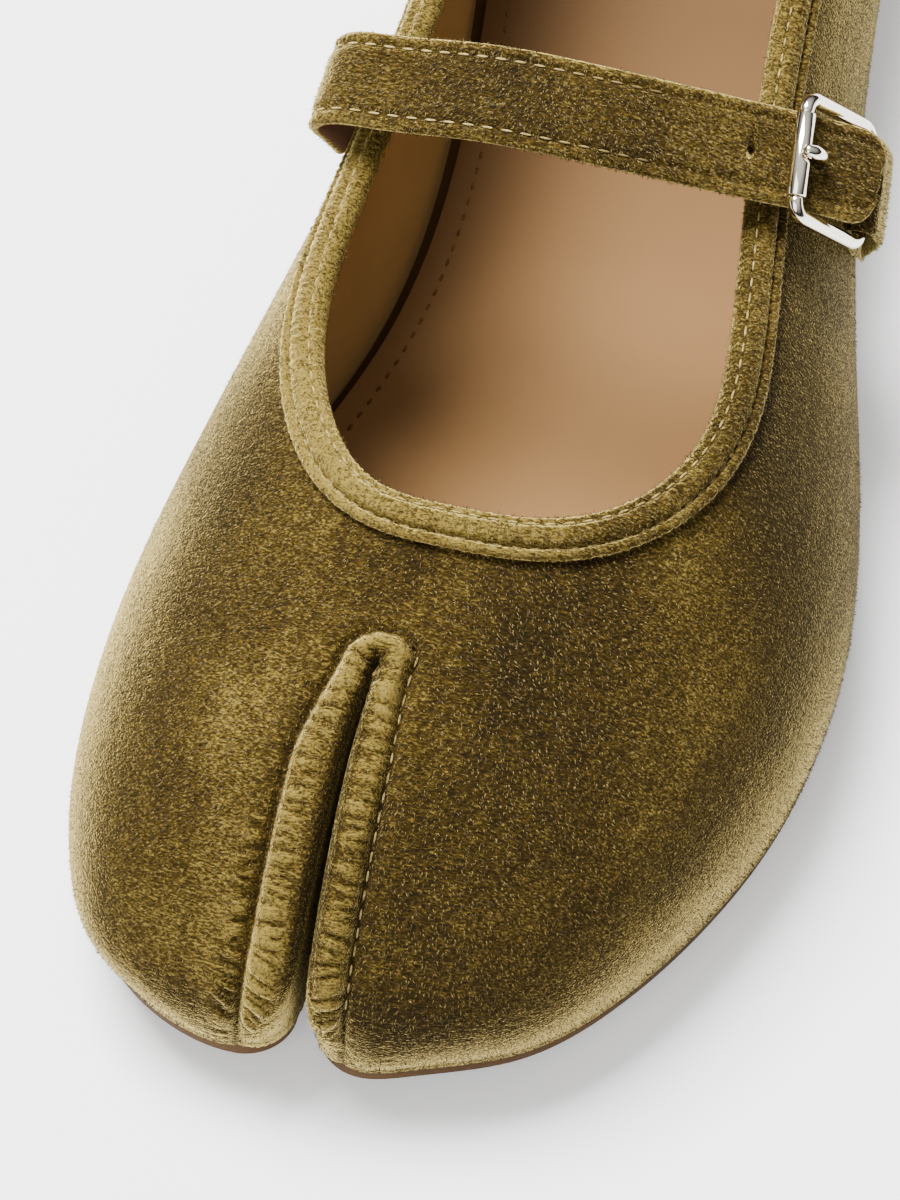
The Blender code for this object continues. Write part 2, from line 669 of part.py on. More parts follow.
def buckle_axes():
    """The roller bar's and the far bar's middles, then the ways from one to the other, across and out."""
    point, ahead, beside, out = strap_at(ROLLER_ACROSS)
    near = point + (STRAP_THICKNESS / 2 + SEAT_GAP + ROLLER_RADIUS) * out
    dive = np.radians(FRAME_DIVE)
    reach = np.cos(dive) * ahead - np.sin(dive) * out
    return near, near + FRAME_REACH * reach, reach, beside, np.cross(beside, reach)


def prong_path(extra=0.0):
    """The prong's line and radii: a loop round the far bar, then the route to the roller."""
    near, far, reach, beside, out = buckle_axes()
    loop = WIRE_RADIUS + SEAT_GAP + PRONG_LOOP_RADIUS
    turn = np.radians(np.linspace(-150, 90, 11))
    route = np.array(PRONG_ROUTE) * MM
    along = np.concatenate([FRAME_REACH + loop * np.cos(turn), route[:, 0]])
    up = np.concatenate([loop * np.sin(turn), route[:, 1]])
    radii = np.concatenate([np.full(len(turn), PRONG_LOOP_RADIUS), route[:, 2]]) + extra
    return near + along[:, None] * reach + up[:, None] * out, radii, beside


def build_strap(surface):
    """The strap, its rounded tip, the hole its prong stands in and a spare hole."""
    line, ahead, beside, out = strap_line()
    thick = STRAP_THICKNESS / 2
    run = run_along(line)
    short = np.clip(1 - (run[-1] - run) / STRAP_TIP_LENGTH, 0, 0.99)
    half = STRAP_WIDTH / 2 - (1 - np.sqrt(1 - short**2)) * STRAP_TIP_LENGTH
    rings = []
    for k in range(len(line)):
        edge = [(half[k], 0.35 * thick), (half[k] - 0.7 * thick, thick)]
        section = edge + [(-w, h) for w, h in edge[::-1]]
        section += [(-w, -h) for w, h in section]
        rings.append([line[k] + w * beside[k] + h * out[k] for w, h in section])
    strap = swept_object("strap", rings, False, surface)
    path, radii, axis = prong_path(PRONG_CLEARANCE)
    route = slice(-len(PRONG_ROUTE), -3)
    passage = swept_object("prong passage", tube_rings(path[route], radii[route], axis, False), False, surface)
    cut(strap, passage)
    point, ahead, beside, out = strap_at(SPARE_HOLE_ACROSS)
    bore = point + np.array([-1, 1])[:, None] * STRAP_THICKNESS * out
    rings = tube_rings(bore, [SPARE_HOLE_RADIUS] * 2, beside, False)
    cut(strap, swept_object("spare hole", rings, False, surface))
    return strap


def build_frame(surface):
    """The buckle's wire frame, thinner where the roller turns on it."""
    near, far, reach, beside, out = buckle_axes()
    long, wide = FRAME_REACH / 2, FRAME_INSIDE / 2 + WIRE_RADIUS
    flat = []
    for along, across, start in ((-1, 1, 180), (1, 1, 90), (1, -1, 0), (-1, -1, -90)):
        turn = np.radians(start - np.linspace(0, 90, 5))
        corner = np.array([along * (long - FRAME_CORNER), across * (wide - FRAME_CORNER)])
        flat.append(corner + FRAME_CORNER * np.stack([np.cos(turn), np.sin(turn)], axis=1))
    bar = wide - FRAME_CORNER - 0.4 * MM
    flat.append(np.array([(-long, -bar), (-long, bar)]))
    flat = np.concatenate(flat)
    radii = np.full(len(flat), WIRE_RADIUS)
    radii[-2:] = ROLLER_BAR_RADIUS
    path = (near + far) / 2 + flat[:, :1] * reach + flat[:, 1:] * beside
    return swept_object("buckle_frame", tube_rings(path, radii, out, True), True, surface)


def build_roller(surface):
    near, far, reach, beside, out = buckle_axes()
    half = FRAME_INSIDE / 2 + WIRE_RADIUS - FRAME_CORNER - ROLLER_END_PLAY
    turn = np.arange(2 * ROUND_STEPS) * np.pi / ROUND_STEPS
    section = ((ROLLER_BORE, -half), (ROLLER_RADIUS, -half), (ROLLER_RADIUS, half), (ROLLER_BORE, half))
    spokes = np.cos(turn)[:, None] * reach + np.sin(turn)[:, None] * out
    rings = [[near + radius * spoke + across * beside for radius, across in section] for spoke in spokes]
    return swept_object("buckle_roller", rings, True, surface)


def build_prong(surface):
    path, radii, axis = prong_path()
    return swept_object("buckle_prong", tube_rings(path, radii, axis, False), False, surface)


def build_tab(surface):
    """A strip up the outer wall, folded round the far bar and notched there for the prong's loop."""
    near, far, reach, beside, out = buckle_axes()
    level = np.array([1.0, 0.0, 0.0])
    rise = np.cross(beside, level)
    share = np.linspace(-0.5, 0.5, TAB_ROWS)
    sheet = []
    for height in TAB_WALL_HEIGHTS:
        row = []
        middle = FRAME_STATION - (far + (height - far[2]) / rise[2] * rise)[1]
        wide = np.interp(height, TAB_WALL_HEIGHTS, np.linspace(TAB_BASE_WIDTH, TAB_WIDTH, len(TAB_WALL_HEIGHTS)))
        for w in share * wide:
            at = np.array([middle - w * beside[1], height + w * beside[2]])
            point = to_frame(outer_wall_point(*at))
            up = to_frame(outer_wall_point(at[0], at[1] + MM)) - point
            on = to_frame(outer_wall_point(at[0] + MM, at[1])) - point
            row.append(point + (SEAT_GAP + TAB_THICKNESS / 2) * unit(np.cross(on, up) * -1))
        sheet.append(row)
    fold = WIRE_RADIUS + SEAT_GAP + TAB_THICKNESS / 2
    turn = np.radians(np.linspace(180, 0, 9))
    free = [(p.out * MM, p.up * MM) for p in TAB_INSIDE]
    free += [(fold * c, fold * s) for c, s in zip(np.cos(turn), np.sin(turn))]
    free += [(p.out * MM, p.up * MM) for p in TAB_OUTSIDE]
    for away, up in free:
        sheet.append([far + w * beside + away * level + up * rise for w in share * TAB_WIDTH])
    sheet = np.array(sheet)
    along, across = np.gradient(sheet, axis=(0, 1))
    face = unit(np.cross(across, along)) * TAB_THICKNESS / 2
    rings = np.concatenate([sheet + face, (sheet - face)[:, ::-1]], axis=1)
    tab = swept_object("buckle_tab", rings, False, surface)
    size = fold + TAB_THICKNESS
    corners = [(-size, -size), (size, -size), (size, size), (-size, size)]
    ends = [far + w * beside for w in (-TAB_NOTCH / 2, TAB_NOTCH / 2)]
    rings = [[end + a * reach + b * out for a, b in corners] for end in ends]
    cut(tab, swept_object("prong notch", rings, False, surface))
    return tab


for startup in list(bpy.data.objects):
    bpy.data.objects.remove(startup)

build_plate("outsole", material("sole leather", (0.16, 0.09, 0.04), 0.6), -SOLE_REACH, 0.0, sole_top, sole_bottom)
build_heel(material("heel leather", (0.12, 0.07, 0.03), 0.6))
insole_leather = material("insole leather", (0.45, 0.28, 0.13), 0.55)
build_plate("insole", insole_leather, INSOLE_INSET, INSOLE_INSET, insole_top, feather_height)
build_upper(material("upper velvet", (0.17, 0.13, 0.03), 0.9))
build_binding(material("binding velvet", (0.20, 0.15, 0.04), 0.9))
build_strap(material("strap velvet", (0.18, 0.14, 0.04), 0.9))
build_tab(material("tab velvet", (0.18, 0.14, 0.04), 0.9))
build_frame(material("frame metal", (0.75, 0.74, 0.72), 0.2, 1.0))
build_roller(material("roller metal", (0.75, 0.74, 0.72), 0.2, 1.0))
build_prong(material("prong metal", (0.75, 0.74, 0.72), 0.2, 1.0))
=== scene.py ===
"""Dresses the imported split-toe mary jane: velvet, leather, thread and polished metal round the CAD solids.

Metres, +Z up, in the part's frame. The toe points to -Y and the outer side of the left foot is +X.
The forms follow the same sections and routes as the part's own solids, with many more rows and columns.
"""

from collections import namedtuple

import bmesh
import bpy
import numpy as np
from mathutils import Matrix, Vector, kdtree


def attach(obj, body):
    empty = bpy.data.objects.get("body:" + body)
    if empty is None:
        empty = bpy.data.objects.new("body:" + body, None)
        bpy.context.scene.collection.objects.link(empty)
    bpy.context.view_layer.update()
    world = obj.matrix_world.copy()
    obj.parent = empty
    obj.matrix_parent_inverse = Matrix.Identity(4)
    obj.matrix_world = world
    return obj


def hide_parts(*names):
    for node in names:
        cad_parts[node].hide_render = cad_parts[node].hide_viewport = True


MM = 0.001

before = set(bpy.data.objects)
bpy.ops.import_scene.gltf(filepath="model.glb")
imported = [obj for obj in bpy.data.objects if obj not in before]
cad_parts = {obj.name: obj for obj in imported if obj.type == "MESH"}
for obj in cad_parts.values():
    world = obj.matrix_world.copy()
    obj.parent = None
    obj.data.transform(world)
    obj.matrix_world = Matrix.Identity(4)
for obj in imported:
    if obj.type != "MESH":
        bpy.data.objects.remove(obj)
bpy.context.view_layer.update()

# Sizes of the shoe, as in the part
SHOE_LENGTH = 245 * MM
BALL_WIDTH = 85 * MM
INSTEP_HEIGHT = 46 * MM
HEEL_HEIGHT = 12 * MM
SOLE_THICKNESS = 3.2 * MM
TOE_SPRING = 5.5 * MM
UPPER_WALL = 1.3 * MM
INSOLE_THICKNESS = 1.8 * MM
SEAT_GAP = 0.3 * MM
FRAME_ACROSS = -0.11 * MM
FRAME_STATION = 120.42 * MM
MEDIAL, LATERAL = -1, 1

# Sections of the last, heel to toe: shares of the length, of the ball width and of the instep height
Section = namedtuple(
    "Section",
    "station medial lateral crown_medial crown_lateral topline_medial topline_lateral bulge_medial bulge_lateral",
)
SECTIONS = (
    Section(0.014, 0.160, 0.160, 1.98, 1.98, 0.440, 0.440, 0.028, 0.028),
    Section(0.057, 0.272, 0.278, 1.84, 1.84, 0.460, 0.460, 0.028, 0.028),
    Section(0.155, 0.320, 0.330, 1.55, 1.50, 0.510, 0.530, 0.028, 0.028),
    Section(0.306, 0.292, 0.338, 1.42, 1.30, 0.500, 0.560, 0.038, 0.028),
    Section(0.441, 0.257, 0.361, 1.37, 1.19, 0.490, 0.590, 0.065, 0.028),
    Section(0.563, 0.282, 0.422, 1.30, 1.12, 0.500, 0.620, 0.088, 0.028),
    Section(0.661, 0.377, 0.484, 1.16, 1.06, 0.555, 0.640, 0.072, 0.028),
    Section(0.739, 0.464, 0.502, 1.04, 1.02, 0.660, 0.670, 0.040, 0.028),
    Section(0.800, 0.500, 0.472, 0.945, 0.945, 0.720, 0.710, 0.028, 0.028),
    Section(0.857, 0.501, 0.406, 0.85, 0.85, 0.760, 0.760, 0.028, 0.028),
    Section(0.914, 0.468, 0.306, 0.75, 0.75, 0.800, 0.800, 0.028, 0.028),
    Section(0.955, 0.392, 0.190, 0.66, 0.66, 0.800, 0.800, 0.028, 0.028),
)
Nose = namedtuple("Nose", "station across tip_station")
NOSES = {MEDIAL: Nose(0.979, -0.288, 0.985), LATERAL: Nose(0.977, 0.050, 0.984)}
Centre = namedtuple("Centre", "station across")
CENTRE_LINE = (
    Centre(0.000, 0.000),
    Centre(0.300, 0.000),
    Centre(0.560, -0.005),
    Centre(0.757, -0.034),
    Centre(0.832, -0.090),
    Centre(0.910, -0.109),
    Centre(1.000, -0.113),
)
SECTION_POWER = 0.88
HEEL_FAN_STATION = 0.115 * SHOE_LENGTH
TOE_CAP_LENGTH = 0.115 * SHOE_LENGTH
TOE_CAP_POWER = 2.4
SHOULDER_LIFT = 0.32
THROAT_STATION = 0.764 * SHOE_LENGTH
THROAT_TURN_STATION = 0.635 * SHOE_LENGTH
THROAT_POWER = 2.6
SPLIT_ROOT_STATION = 0.832 * SHOE_LENGTH
SPLIT_ROOT_HALF_GAP = 0.4 * MM
SPLIT_TIP_HALF_GAP = 1.1 * MM
SPLIT_CORNER_RADIUS = 6.5 * MM
SOLE_REACH = -0.3 * MM
HEM_DEPTH = 1.0 * MM
TREAD_BACK_STATION = 0.600 * SHOE_LENGTH
TREAD_FRONT_STATION = 0.800 * SHOE_LENGTH
HEEL_SEAT_STATION = 0.240 * SHOE_LENGTH
HEEL_BREAST_STATION = 0.235 * SHOE_LENGTH
HEEL_BREAST_HOLLOW = 4.0 * MM
HEEL_INSET = 0.4 * MM
HEEL_TAPER = 0.95
INSOLE_INSET = UPPER_WALL + 1.5 * MM
INSOLE_STITCH_INSET = INSOLE_INSET + 2.9 * MM
SOLE_SPLIT_INSET = 0.5 * MM
SOLE_EASE = 0.5 * MM
INSOLE_EASE = 0.3 * MM

# Rolled edges of the split, in millimetres: narrow round its root, and wider on the big toe's side
ROLL_ROOT_WIDTH = 3.7
ROLL_WIDTH = {MEDIAL: 5.7, LATERAL: 4.6}
ROLL_HEIGHT = 1.35
ROLL_GROOVE = 0.8
ROLL_RIB_PITCH = 1.7
ROLL_RIB_HEIGHT = 0.33
# Second, lower ridge beside the big toe's roll, gathered by the stitches
GATHER_AWAY = 2.1
GATHER_START = 12.0
# Height above the feather line at which the rolls are full, and how far from the lip the skin is softened
ROLL_FULL_HEIGHT = 9 * MM
LIP_SOFT_REACH = 3.4 * MM
LIP_SOFT_PASSES = 30

# The strap's middle line, in millimetres, and how far in degrees its toe side leans down and splays out
StrapPoint = namedtuple("StrapPoint", "across station height lean splay")
STRAP_ROUTE = (
    StrapPoint(-27.5, 133.6, 42.6, 9, 6),
    StrapPoint(-29.4, 134.2, 46.4, 10, 6),
    StrapPoint(-30.3, 134.9, 49.4, 12, 5),
    StrapPoint(-28.6, 135.2, 51.7, 14, 3),
    StrapPoint(-24.0, 135.4, 52.9, 16, 1),
    StrapPoint(-12.0, 135.9, 55.4, 20, 0),
    StrapPoint(0.0, 136.2, 56.0, 20, 0),
    StrapPoint(12.0, 135.5, 54.2, 19, 0),
    StrapPoint(21.0, 134.0, 51.3, 17, 0),
    StrapPoint(27.2, 132.7, 49.0, 15, 0),
    StrapPoint(33.0, 131.8, 46.9, 14, 0),
    StrapPoint(36.1, 131.5, 45.7, 13, 0),
)
STRAP_WIDTH = 11.8 * MM
STRAP_THICKNESS = 2.0 * MM
STRAP_TIP_LENGTH = 2.8 * MM
SPARE_HOLE_ACROSS = 20.7 * MM
SPARE_HOLE_RADIUS = 0.6 * MM

# Buckle and its tab
ROLLER_ACROSS = 25.9 * MM
ROLLER_RADIUS = 1.2 * MM
ROLLER_BORE = 0.85 * MM
ROLLER_END_PLAY = 0.25 * MM
ROLLER_EASE = 0.12 * MM
WIRE_RADIUS = 0.9 * MM
ROLLER_BAR_RADIUS = 0.55 * MM
FRAME_INSIDE = 12.6 * MM
FRAME_REACH = 13.5 * MM
FRAME_CORNER = 1.8 * MM
FRAME_DIVE = 33.0
ProngPoint = namedtuple("ProngPoint", "along up radius")
PRONG_ROUTE = (
    ProngPoint(10.8, 0.40, 0.60),
    ProngPoint(8.6, -0.35, 0.75),
    ProngPoint(5.6, -0.60, 0.80),
    ProngPoint(3.6, 0.10, 0.80),
    ProngPoint(2.2, 1.35, 0.80),
    ProngPoint(1.1, 2.20, 0.80),
    ProngPoint(0.1, 2.35, 0.85),
    ProngPoint(-0.8, 2.25, 0.85),
    ProngPoint(-1.5, 2.0, 0.75),
    ProngPoint(-1.9, 1.8, 0.45),
    ProngPoint(-2.0, 1.75, 0.15),
)
PRONG_LOOP_RADIUS = 0.45 * MM
PRONG_CLEARANCE = 0.12 * MM
TAB_WIDTH = 11.8 * MM
TAB_BASE_WIDTH = 9.6 * MM
TAB_THICKNESS = 1.1 * MM
TAB_NOTCH = 2.2 * MM
TAB_WALL_HEIGHTS = tuple(height * MM for height in (23.5, 25.5, 27.5, 29.5))
TabPoint = namedtuple("TabPoint", "out up")
TAB_INSIDE = (TabPoint(-0.7, -10.0), TabPoint(-1.45, -5.0))
TAB_OUTSIDE = (TabPoint(2.4, -2.8), TabPoint(1.7, -6.5), TabPoint(0.5, -10.5))

# Rows and columns of the fine forms
HEEL_COLUMNS = 26
SIDE_COLUMNS = 44
THROAT_COLUMNS = 34
VAMP_COLUMNS = 26
TOE_COLUMNS = 116
SIDE_ROWS = 12
TOP_ROWS = 14
EDGE_ROWS = np.linspace(9.0, 0.0, 26) * MM
LIP_ROWS = 10
WALL_ROWS = 7
CURVE_SAMPLES = 400
COLLAR_POINTS = 1500
BINDING_POINTS = 56
STRAP_RING_POINTS = 64
TAB_ROWS = 90
ROLLER_FACETS = 48
SLOPE_STEP = 0.003
MERGE = 0.002 * MM
EDGE_ANGLE = np.radians(40)


def unit(vector):
    vector = np.asarray(vector, float)
    return vector / np.linalg.norm(vector, axis=-1, keepdims=True)


def square_to(vector, axis):
    """The unit part of a vector that stands square to a unit axis."""
    return unit(vector - axis * np.sum(vector * axis, axis=-1, keepdims=True))


def run_along(points):
    """Distance along a polyline at each of its points."""
    return np.concatenate([[0], np.cumsum(np.linalg.norm(np.diff(points, axis=0), axis=1))])


def at_position(position, positions, rows):
    """Rows of several columns, linearly between the listed positions."""
    return np.stack([np.interp(position, positions, rows[:, k]) for k in range(rows.shape[1])], axis=-1)


def natural_spline(knots, values, at):
    """Natural cubic through the values at the knots; the values may be rows of several columns."""
    knots = np.asarray(knots, float)
    values = np.asarray(values, float)
    at = np.asarray(at, float)
    count = len(knots)
    step = np.diff(knots)
    system = np.eye(count)
    bend = np.zeros(values.shape)
    for i in range(1, count - 1):
        system[i, i - 1 : i + 2] = step[i - 1], 2 * (step[i - 1] + step[i]), step[i]
        bend[i] = 6 * ((values[i + 1] - values[i]) / step[i] - (values[i] - values[i - 1]) / step[i - 1])
    curve = np.linalg.solve(system, bend)
    i = np.clip(np.searchsorted(knots, at, side="right") - 1, 0, count - 2)
    width = step[i]
    after = at - knots[i]
    before = knots[i + 1] - at
    if values.ndim > 1:
        width, after, before = width[..., None], after[..., None], before[..., None]
    cubic = (curve[i] * before**3 + curve[i + 1] * after**3) / (6 * width)
    straight = (values[i] * before + values[i + 1] * after) / width
    return cubic + straight - width * (curve[i] * before + curve[i + 1] * after) / 6


def section_value(column, station):
    """A column of the section table, at any station."""
    rows = [row.station * SHOE_LENGTH for row in SECTIONS]
    at = np.clip(station, rows[0], rows[-1])
    return natural_spline(rows, [getattr(row, column) for row in SECTIONS], at)


def side_value(column, side, station):
    return section_value(column + ("_medial" if side == MEDIAL else "_lateral"), station)


def smooth_step(share):
    share = np.clip(share, 0, 1)
    return share * share * (3 - 2 * share)


def sole_top(station):
    """Height of the sole's upper face: heel seat, arch, flat tread and toe spring."""
    arch = (TREAD_BACK_STATION - station) / (TREAD_BACK_STATION - HEEL_SEAT_STATION)
    toe = np.clip((station - TREAD_FRONT_STATION) / (SHOE_LENGTH - TREAD_FRONT_STATION), 0, None)
    return SOLE_THICKNESS + HEEL_HEIGHT * smooth_step(arch) + TOE_SPRING * toe**1.8


def sole_bottom(station):
    return sole_top(station) - SOLE_THICKNESS


def feather_height(station):
    return sole_top(station) + SEAT_GAP


def insole_top(station):
    return feather_height(station) + INSOLE_THICKNESS


def centre_across(station):
    rows = [row.station * SHOE_LENGTH for row in CENTRE_LINE]
    return natural_spline(rows, [row.across * BALL_WIDTH for row in CENTRE_LINE], station)


def tip_point(side):
    """The foremost point of one toe, where its outer curve meets the rounded corner of the split."""
    station = NOSES[side].tip_station * SHOE_LENGTH
    return np.array([centre_across(station) + side * (SPLIT_TIP_HALF_GAP + SPLIT_CORNER_RADIUS), station])


def outward_of(curve, side):
    """Unit normals of a plan curve that runs from heel to toe, pointing away from the foot."""
    tangent = unit(np.gradient(curve, axis=0))
    outward = side * np.stack([tangent[:, 1], -tangent[:, 0]], axis=1)
    outward[0] = 0, -1
    outward[-1] = 0, 1
    return outward


def feather_outline(side, inset=0.0):
    """Plan curve (across, station) of one side of the feather line, heel back to toe tip, moved in by inset."""
    column = "medial" if side == MEDIAL else "lateral"
    sections = [(side * getattr(row, column) * BALL_WIDTH, row.station * SHOE_LENGTH) for row in SECTIONS]
    nose = (NOSES[side].across * BALL_WIDTH, NOSES[side].station * SHOE_LENGTH)
    tip = tip_point(side)
    past_heel = (-sections[0][0], sections[0][1])
    past_tip = (2 * tip[0] - nose[0], nose[1])
    points = np.array([past_heel, (0.0, 0.0), *sections, nose, tip, past_tip])
    along = run_along(points)
    curve = natural_spline(along, points, np.linspace(along[1], along[-2], CURVE_SAMPLES))
    return curve - inset * outward_of(curve, side)


def split_half_gap(station):
    share = np.clip((station - SPLIT_ROOT_STATION) / (SHOE_LENGTH - SPLIT_ROOT_STATION), 0, 1)
    return SPLIT_ROOT_HALF_GAP + (SPLIT_TIP_HALF_GAP - SPLIT_ROOT_HALF_GAP) * share


def split_edge(side, station, inset=0.0, split_inset=0.0):
    """Across position of one toe's wall in the split, with its rounded root and its rounded front corner."""
    root_radius = SPLIT_ROOT_HALF_GAP + split_inset
    short = np.clip(1 - (station - SPLIT_ROOT_STATION + split_inset) / root_radius, 0, 1)
    wall = (split_half_gap(station) + split_inset) * np.sqrt(1 - short**2)
    radius = SPLIT_CORNER_RADIUS - inset
    past = np.clip(station - (tip_point(side)[1] - SPLIT_CORNER_RADIUS), 0, radius)
    corner = SPLIT_TIP_HALF_GAP + SPLIT_CORNER_RADIUS - np.sqrt(radius**2 - past**2)
    return centre_across(station) + side * np.where(past > 0, np.maximum(wall, corner), wall)


def column_shares(outline, split_inset=0.0):
    """Where the columns stand along an outline: round the heel, up the sides, round the throat, on to the toe tip."""
    root = SPLIT_ROOT_STATION - split_inset
    toe_start = root + SPLIT_ROOT_HALF_GAP + split_inset
    side_stations = np.linspace(HEEL_FAN_STATION, THROAT_TURN_STATION, SIDE_COLUMNS + 1)[1:]
    turn = np.sin(np.linspace(0, np.pi / 2, THROAT_COLUMNS + 1))[1:]
    throat = THROAT_TURN_STATION + (THROAT_STATION - THROAT_TURN_STATION) * turn
    vamp = np.linspace(THROAT_STATION, root, VAMP_COLUMNS + 1)[1:]
    toe = toe_start + (outline[-1, 1] - toe_start) * np.sin(np.linspace(0, np.pi / 2, TOE_COLUMNS))
    stations = np.concatenate([[HEEL_FAN_STATION], side_stations, throat, vamp, toe])
    forward = np.interp(stations, outline[:, 1], np.linspace(0, 1, len(outline)))
    return np.concatenate([np.linspace(0, forward[0], HEEL_COLUMNS)[:-1], forward])


def columns(side, inset=0.0, split_inset=0.0):
    """The columns of one side, heel back to toe tip: outer and inner plan points and the outward normal."""
    outline = feather_outline(side, inset)
    shares = column_shares(outline, split_inset)
    outer = at_position(shares, np.linspace(0, 1, len(outline)), outline)
    normal = at_position(shares, np.linspace(0, 1, len(outline)), outward_of(outline, side))
    inner_station = np.maximum(outer[:, 1], HEEL_FAN_STATION)
    in_split = np.arange(len(shares)) >= len(shares) - TOE_COLUMNS
    across = np.where(in_split, split_edge(side, outer[:, 1], inset, split_inset), centre_across(inner_station))
    across[-1] = outer[-1, 0]
    return outer, np.stack([across, inner_station], axis=1), normal


def throat_turn(station):
    return np.clip((station - THROAT_TURN_STATION) / (THROAT_STATION - THROAT_TURN_STATION), 0, 1)


def crown_height(side, station):
    own, other = (side_value("crown", s, station) for s in (side, -side))
    return INSTEP_HEIGHT * (own + 0.5 * smooth_step(throat_turn(station)) * (other - own))


def topline_share(side, station):
    """How far up its section the collar cuts a column, closing round the throat."""
    share = side_value("topline", side, station)
    return 1 - (1 - share) * (1 - throat_turn(station) ** THROAT_POWER) ** (1 / THROAT_POWER)


def toe_cap(side, station):
    """Share of the crown height left as the toe rounds down to its tip."""
    start = tip_point(side)[1] - TOE_CAP_LENGTH
    past = np.clip((station - start) / TOE_CAP_LENGTH, 0, 1)
    return (1 - past**TOE_CAP_POWER) ** (1 / TOE_CAP_POWER)


def upper_column(side, outer, inner, normal, top):
    """One column of the upper's outer face, from the feather line up to the collar, crown or split."""
    station = outer[1]
    foot = feather_height(station)
    cap = toe_cap(side, station)
    rise = (crown_height(side, station) - foot) * cap
    lift = np.linspace(0, top, CURVE_SAMPLES)
    angle = lift * np.pi / 2
    inward = 1 - np.cos(angle) ** SECTION_POWER
    swell = BALL_WIDTH * side_value("bulge", side, station) * cap * 6.75 * lift * (1 - lift) ** 2
    plan = outer + np.outer(inward, inner - outer) + np.outer(swell, normal)
    return np.column_stack([plan, foot + rise * np.sin(angle) ** SECTION_POWER])


def column_at(side, share, top=None):
    """The column of the upper's outer face at a share of the side's outline, behind the split, up to its collar."""
    outline = feather_outline(side)
    shares = np.linspace(0, 1, len(outline))
    outer = at_position(share, shares, outline)
    station = max(outer[1], HEEL_FAN_STATION)
    inner = np.array([centre_across(station), station])
    top = topline_share(side, outer[1]) if top is None else top
    return upper_column(side, outer, inner, at_position(share, shares, outward_of(outline, side)), top)


def outer_wall_point(station, height):
    """A point of the upper's lateral face, at a station and a height below the collar."""
    outline = feather_outline(LATERAL)
    curve = column_at(LATERAL, np.interp(station, outline[:, 1], np.linspace(0, 1, len(outline))))
    return at_position(height, curve[:, 2], curve)


def face_rows(curve, top, edged):
    """A column's rows: at set lifts where it ends at the collar, at set distances from its edge towards the toe."""
    run = run_along(curve)
    low = np.linspace(0, SHOULDER_LIFT, SIDE_ROWS + 1)[:-1]
    lift = np.concatenate([low, np.linspace(SHOULDER_LIFT, 1, TOP_ROWS + len(EDGE_ROWS))])
    by_lift = np.interp(np.minimum(lift, top), np.linspace(0, top, len(curve)), run)
    edge = run[-1] - EDGE_ROWS * min(1, 0.4 * run[-1] / EDGE_ROWS[0])
    shoulder = np.interp(SHOULDER_LIFT, np.linspace(0, 1, len(run)), run)
    side = np.linspace(0, shoulder, SIDE_ROWS + 1)[:-1]
    over = np.linspace(shoulder, edge[0], TOP_ROWS + 1)[:-1]
    by_edge = np.concatenate([side, over, edge])
    return at_position(by_lift + edged * (by_edge - by_lift), run, curve)


def drops(depth):
    """Depths of the rows down a wall, close together below its lip."""
    lip = np.linspace(0, 4.0 * MM, LIP_ROWS + 1)[1:] * min(1, 0.4 * depth / (4.0 * MM))
    return np.concatenate([lip, np.linspace(lip[-1], depth, WALL_ROWS + 1)[1:]])


def to_frame(points):
    """From (across, station, height) to the part's own frame."""
    points = np.asarray(points, float)
    return np.stack([points[..., 0] - FRAME_ACROSS, FRAME_STATION - points[..., 1], points[..., 2]], axis=-1)


def from_frame(points):
    return np.stack([points[..., 0] + FRAME_ACROSS, FRAME_STATION - points[..., 1], points[..., 2]], axis=-1)


def linear(hex_colour):
    """Linear colour of an sRGB hex value."""
    share = np.array([int(hex_colour[k : k + 2], 16) / 255 for k in (1, 3, 5)])
    return (*np.where(share <= 0.04045, share / 12.92, ((share + 0.055) / 1.055) ** 2.4), 1.0)


def add(tree, kind, settings=(), links=()):
    """A node with its settings and input values, and what feeds it: sockets, or nodes by their first output."""
    made = tree.nodes.new(kind)
    for name, value in dict(settings).items():
        if isinstance(name, str) and hasattr(made, name):
            setattr(made, name, value)
        else:
            made.inputs[name].default_value = value
    for socket, source in dict(links).items():
        tree.links.new(getattr(source, "outputs", [source])[0], made.inputs[socket])
    return made


def surface(name, settings):
    """A material with a Principled shader; returns it with its tree and its shader."""
    made = bpy.data.materials.new(name)
    made.use_nodes = True
    shader = made.node_tree.nodes["Principled BSDF"]
    for socket, value in settings.items():
        shader.inputs[socket].default_value = value
    return made, made.node_tree, shader


def ramp(tree, source, stops):
    """Colour from a value, through sRGB stops at set positions."""
    made = add(tree, "ShaderNodeValToRGB", links={"Fac": source})
    elements = made.color_ramp.elements
    while len(elements) < len(stops):
        elements.new(0.5)
    for element, (position, colour) in zip(elements, stops):
        element.position = position
        element.color = linear(colour)
    return made.outputs["Color"]


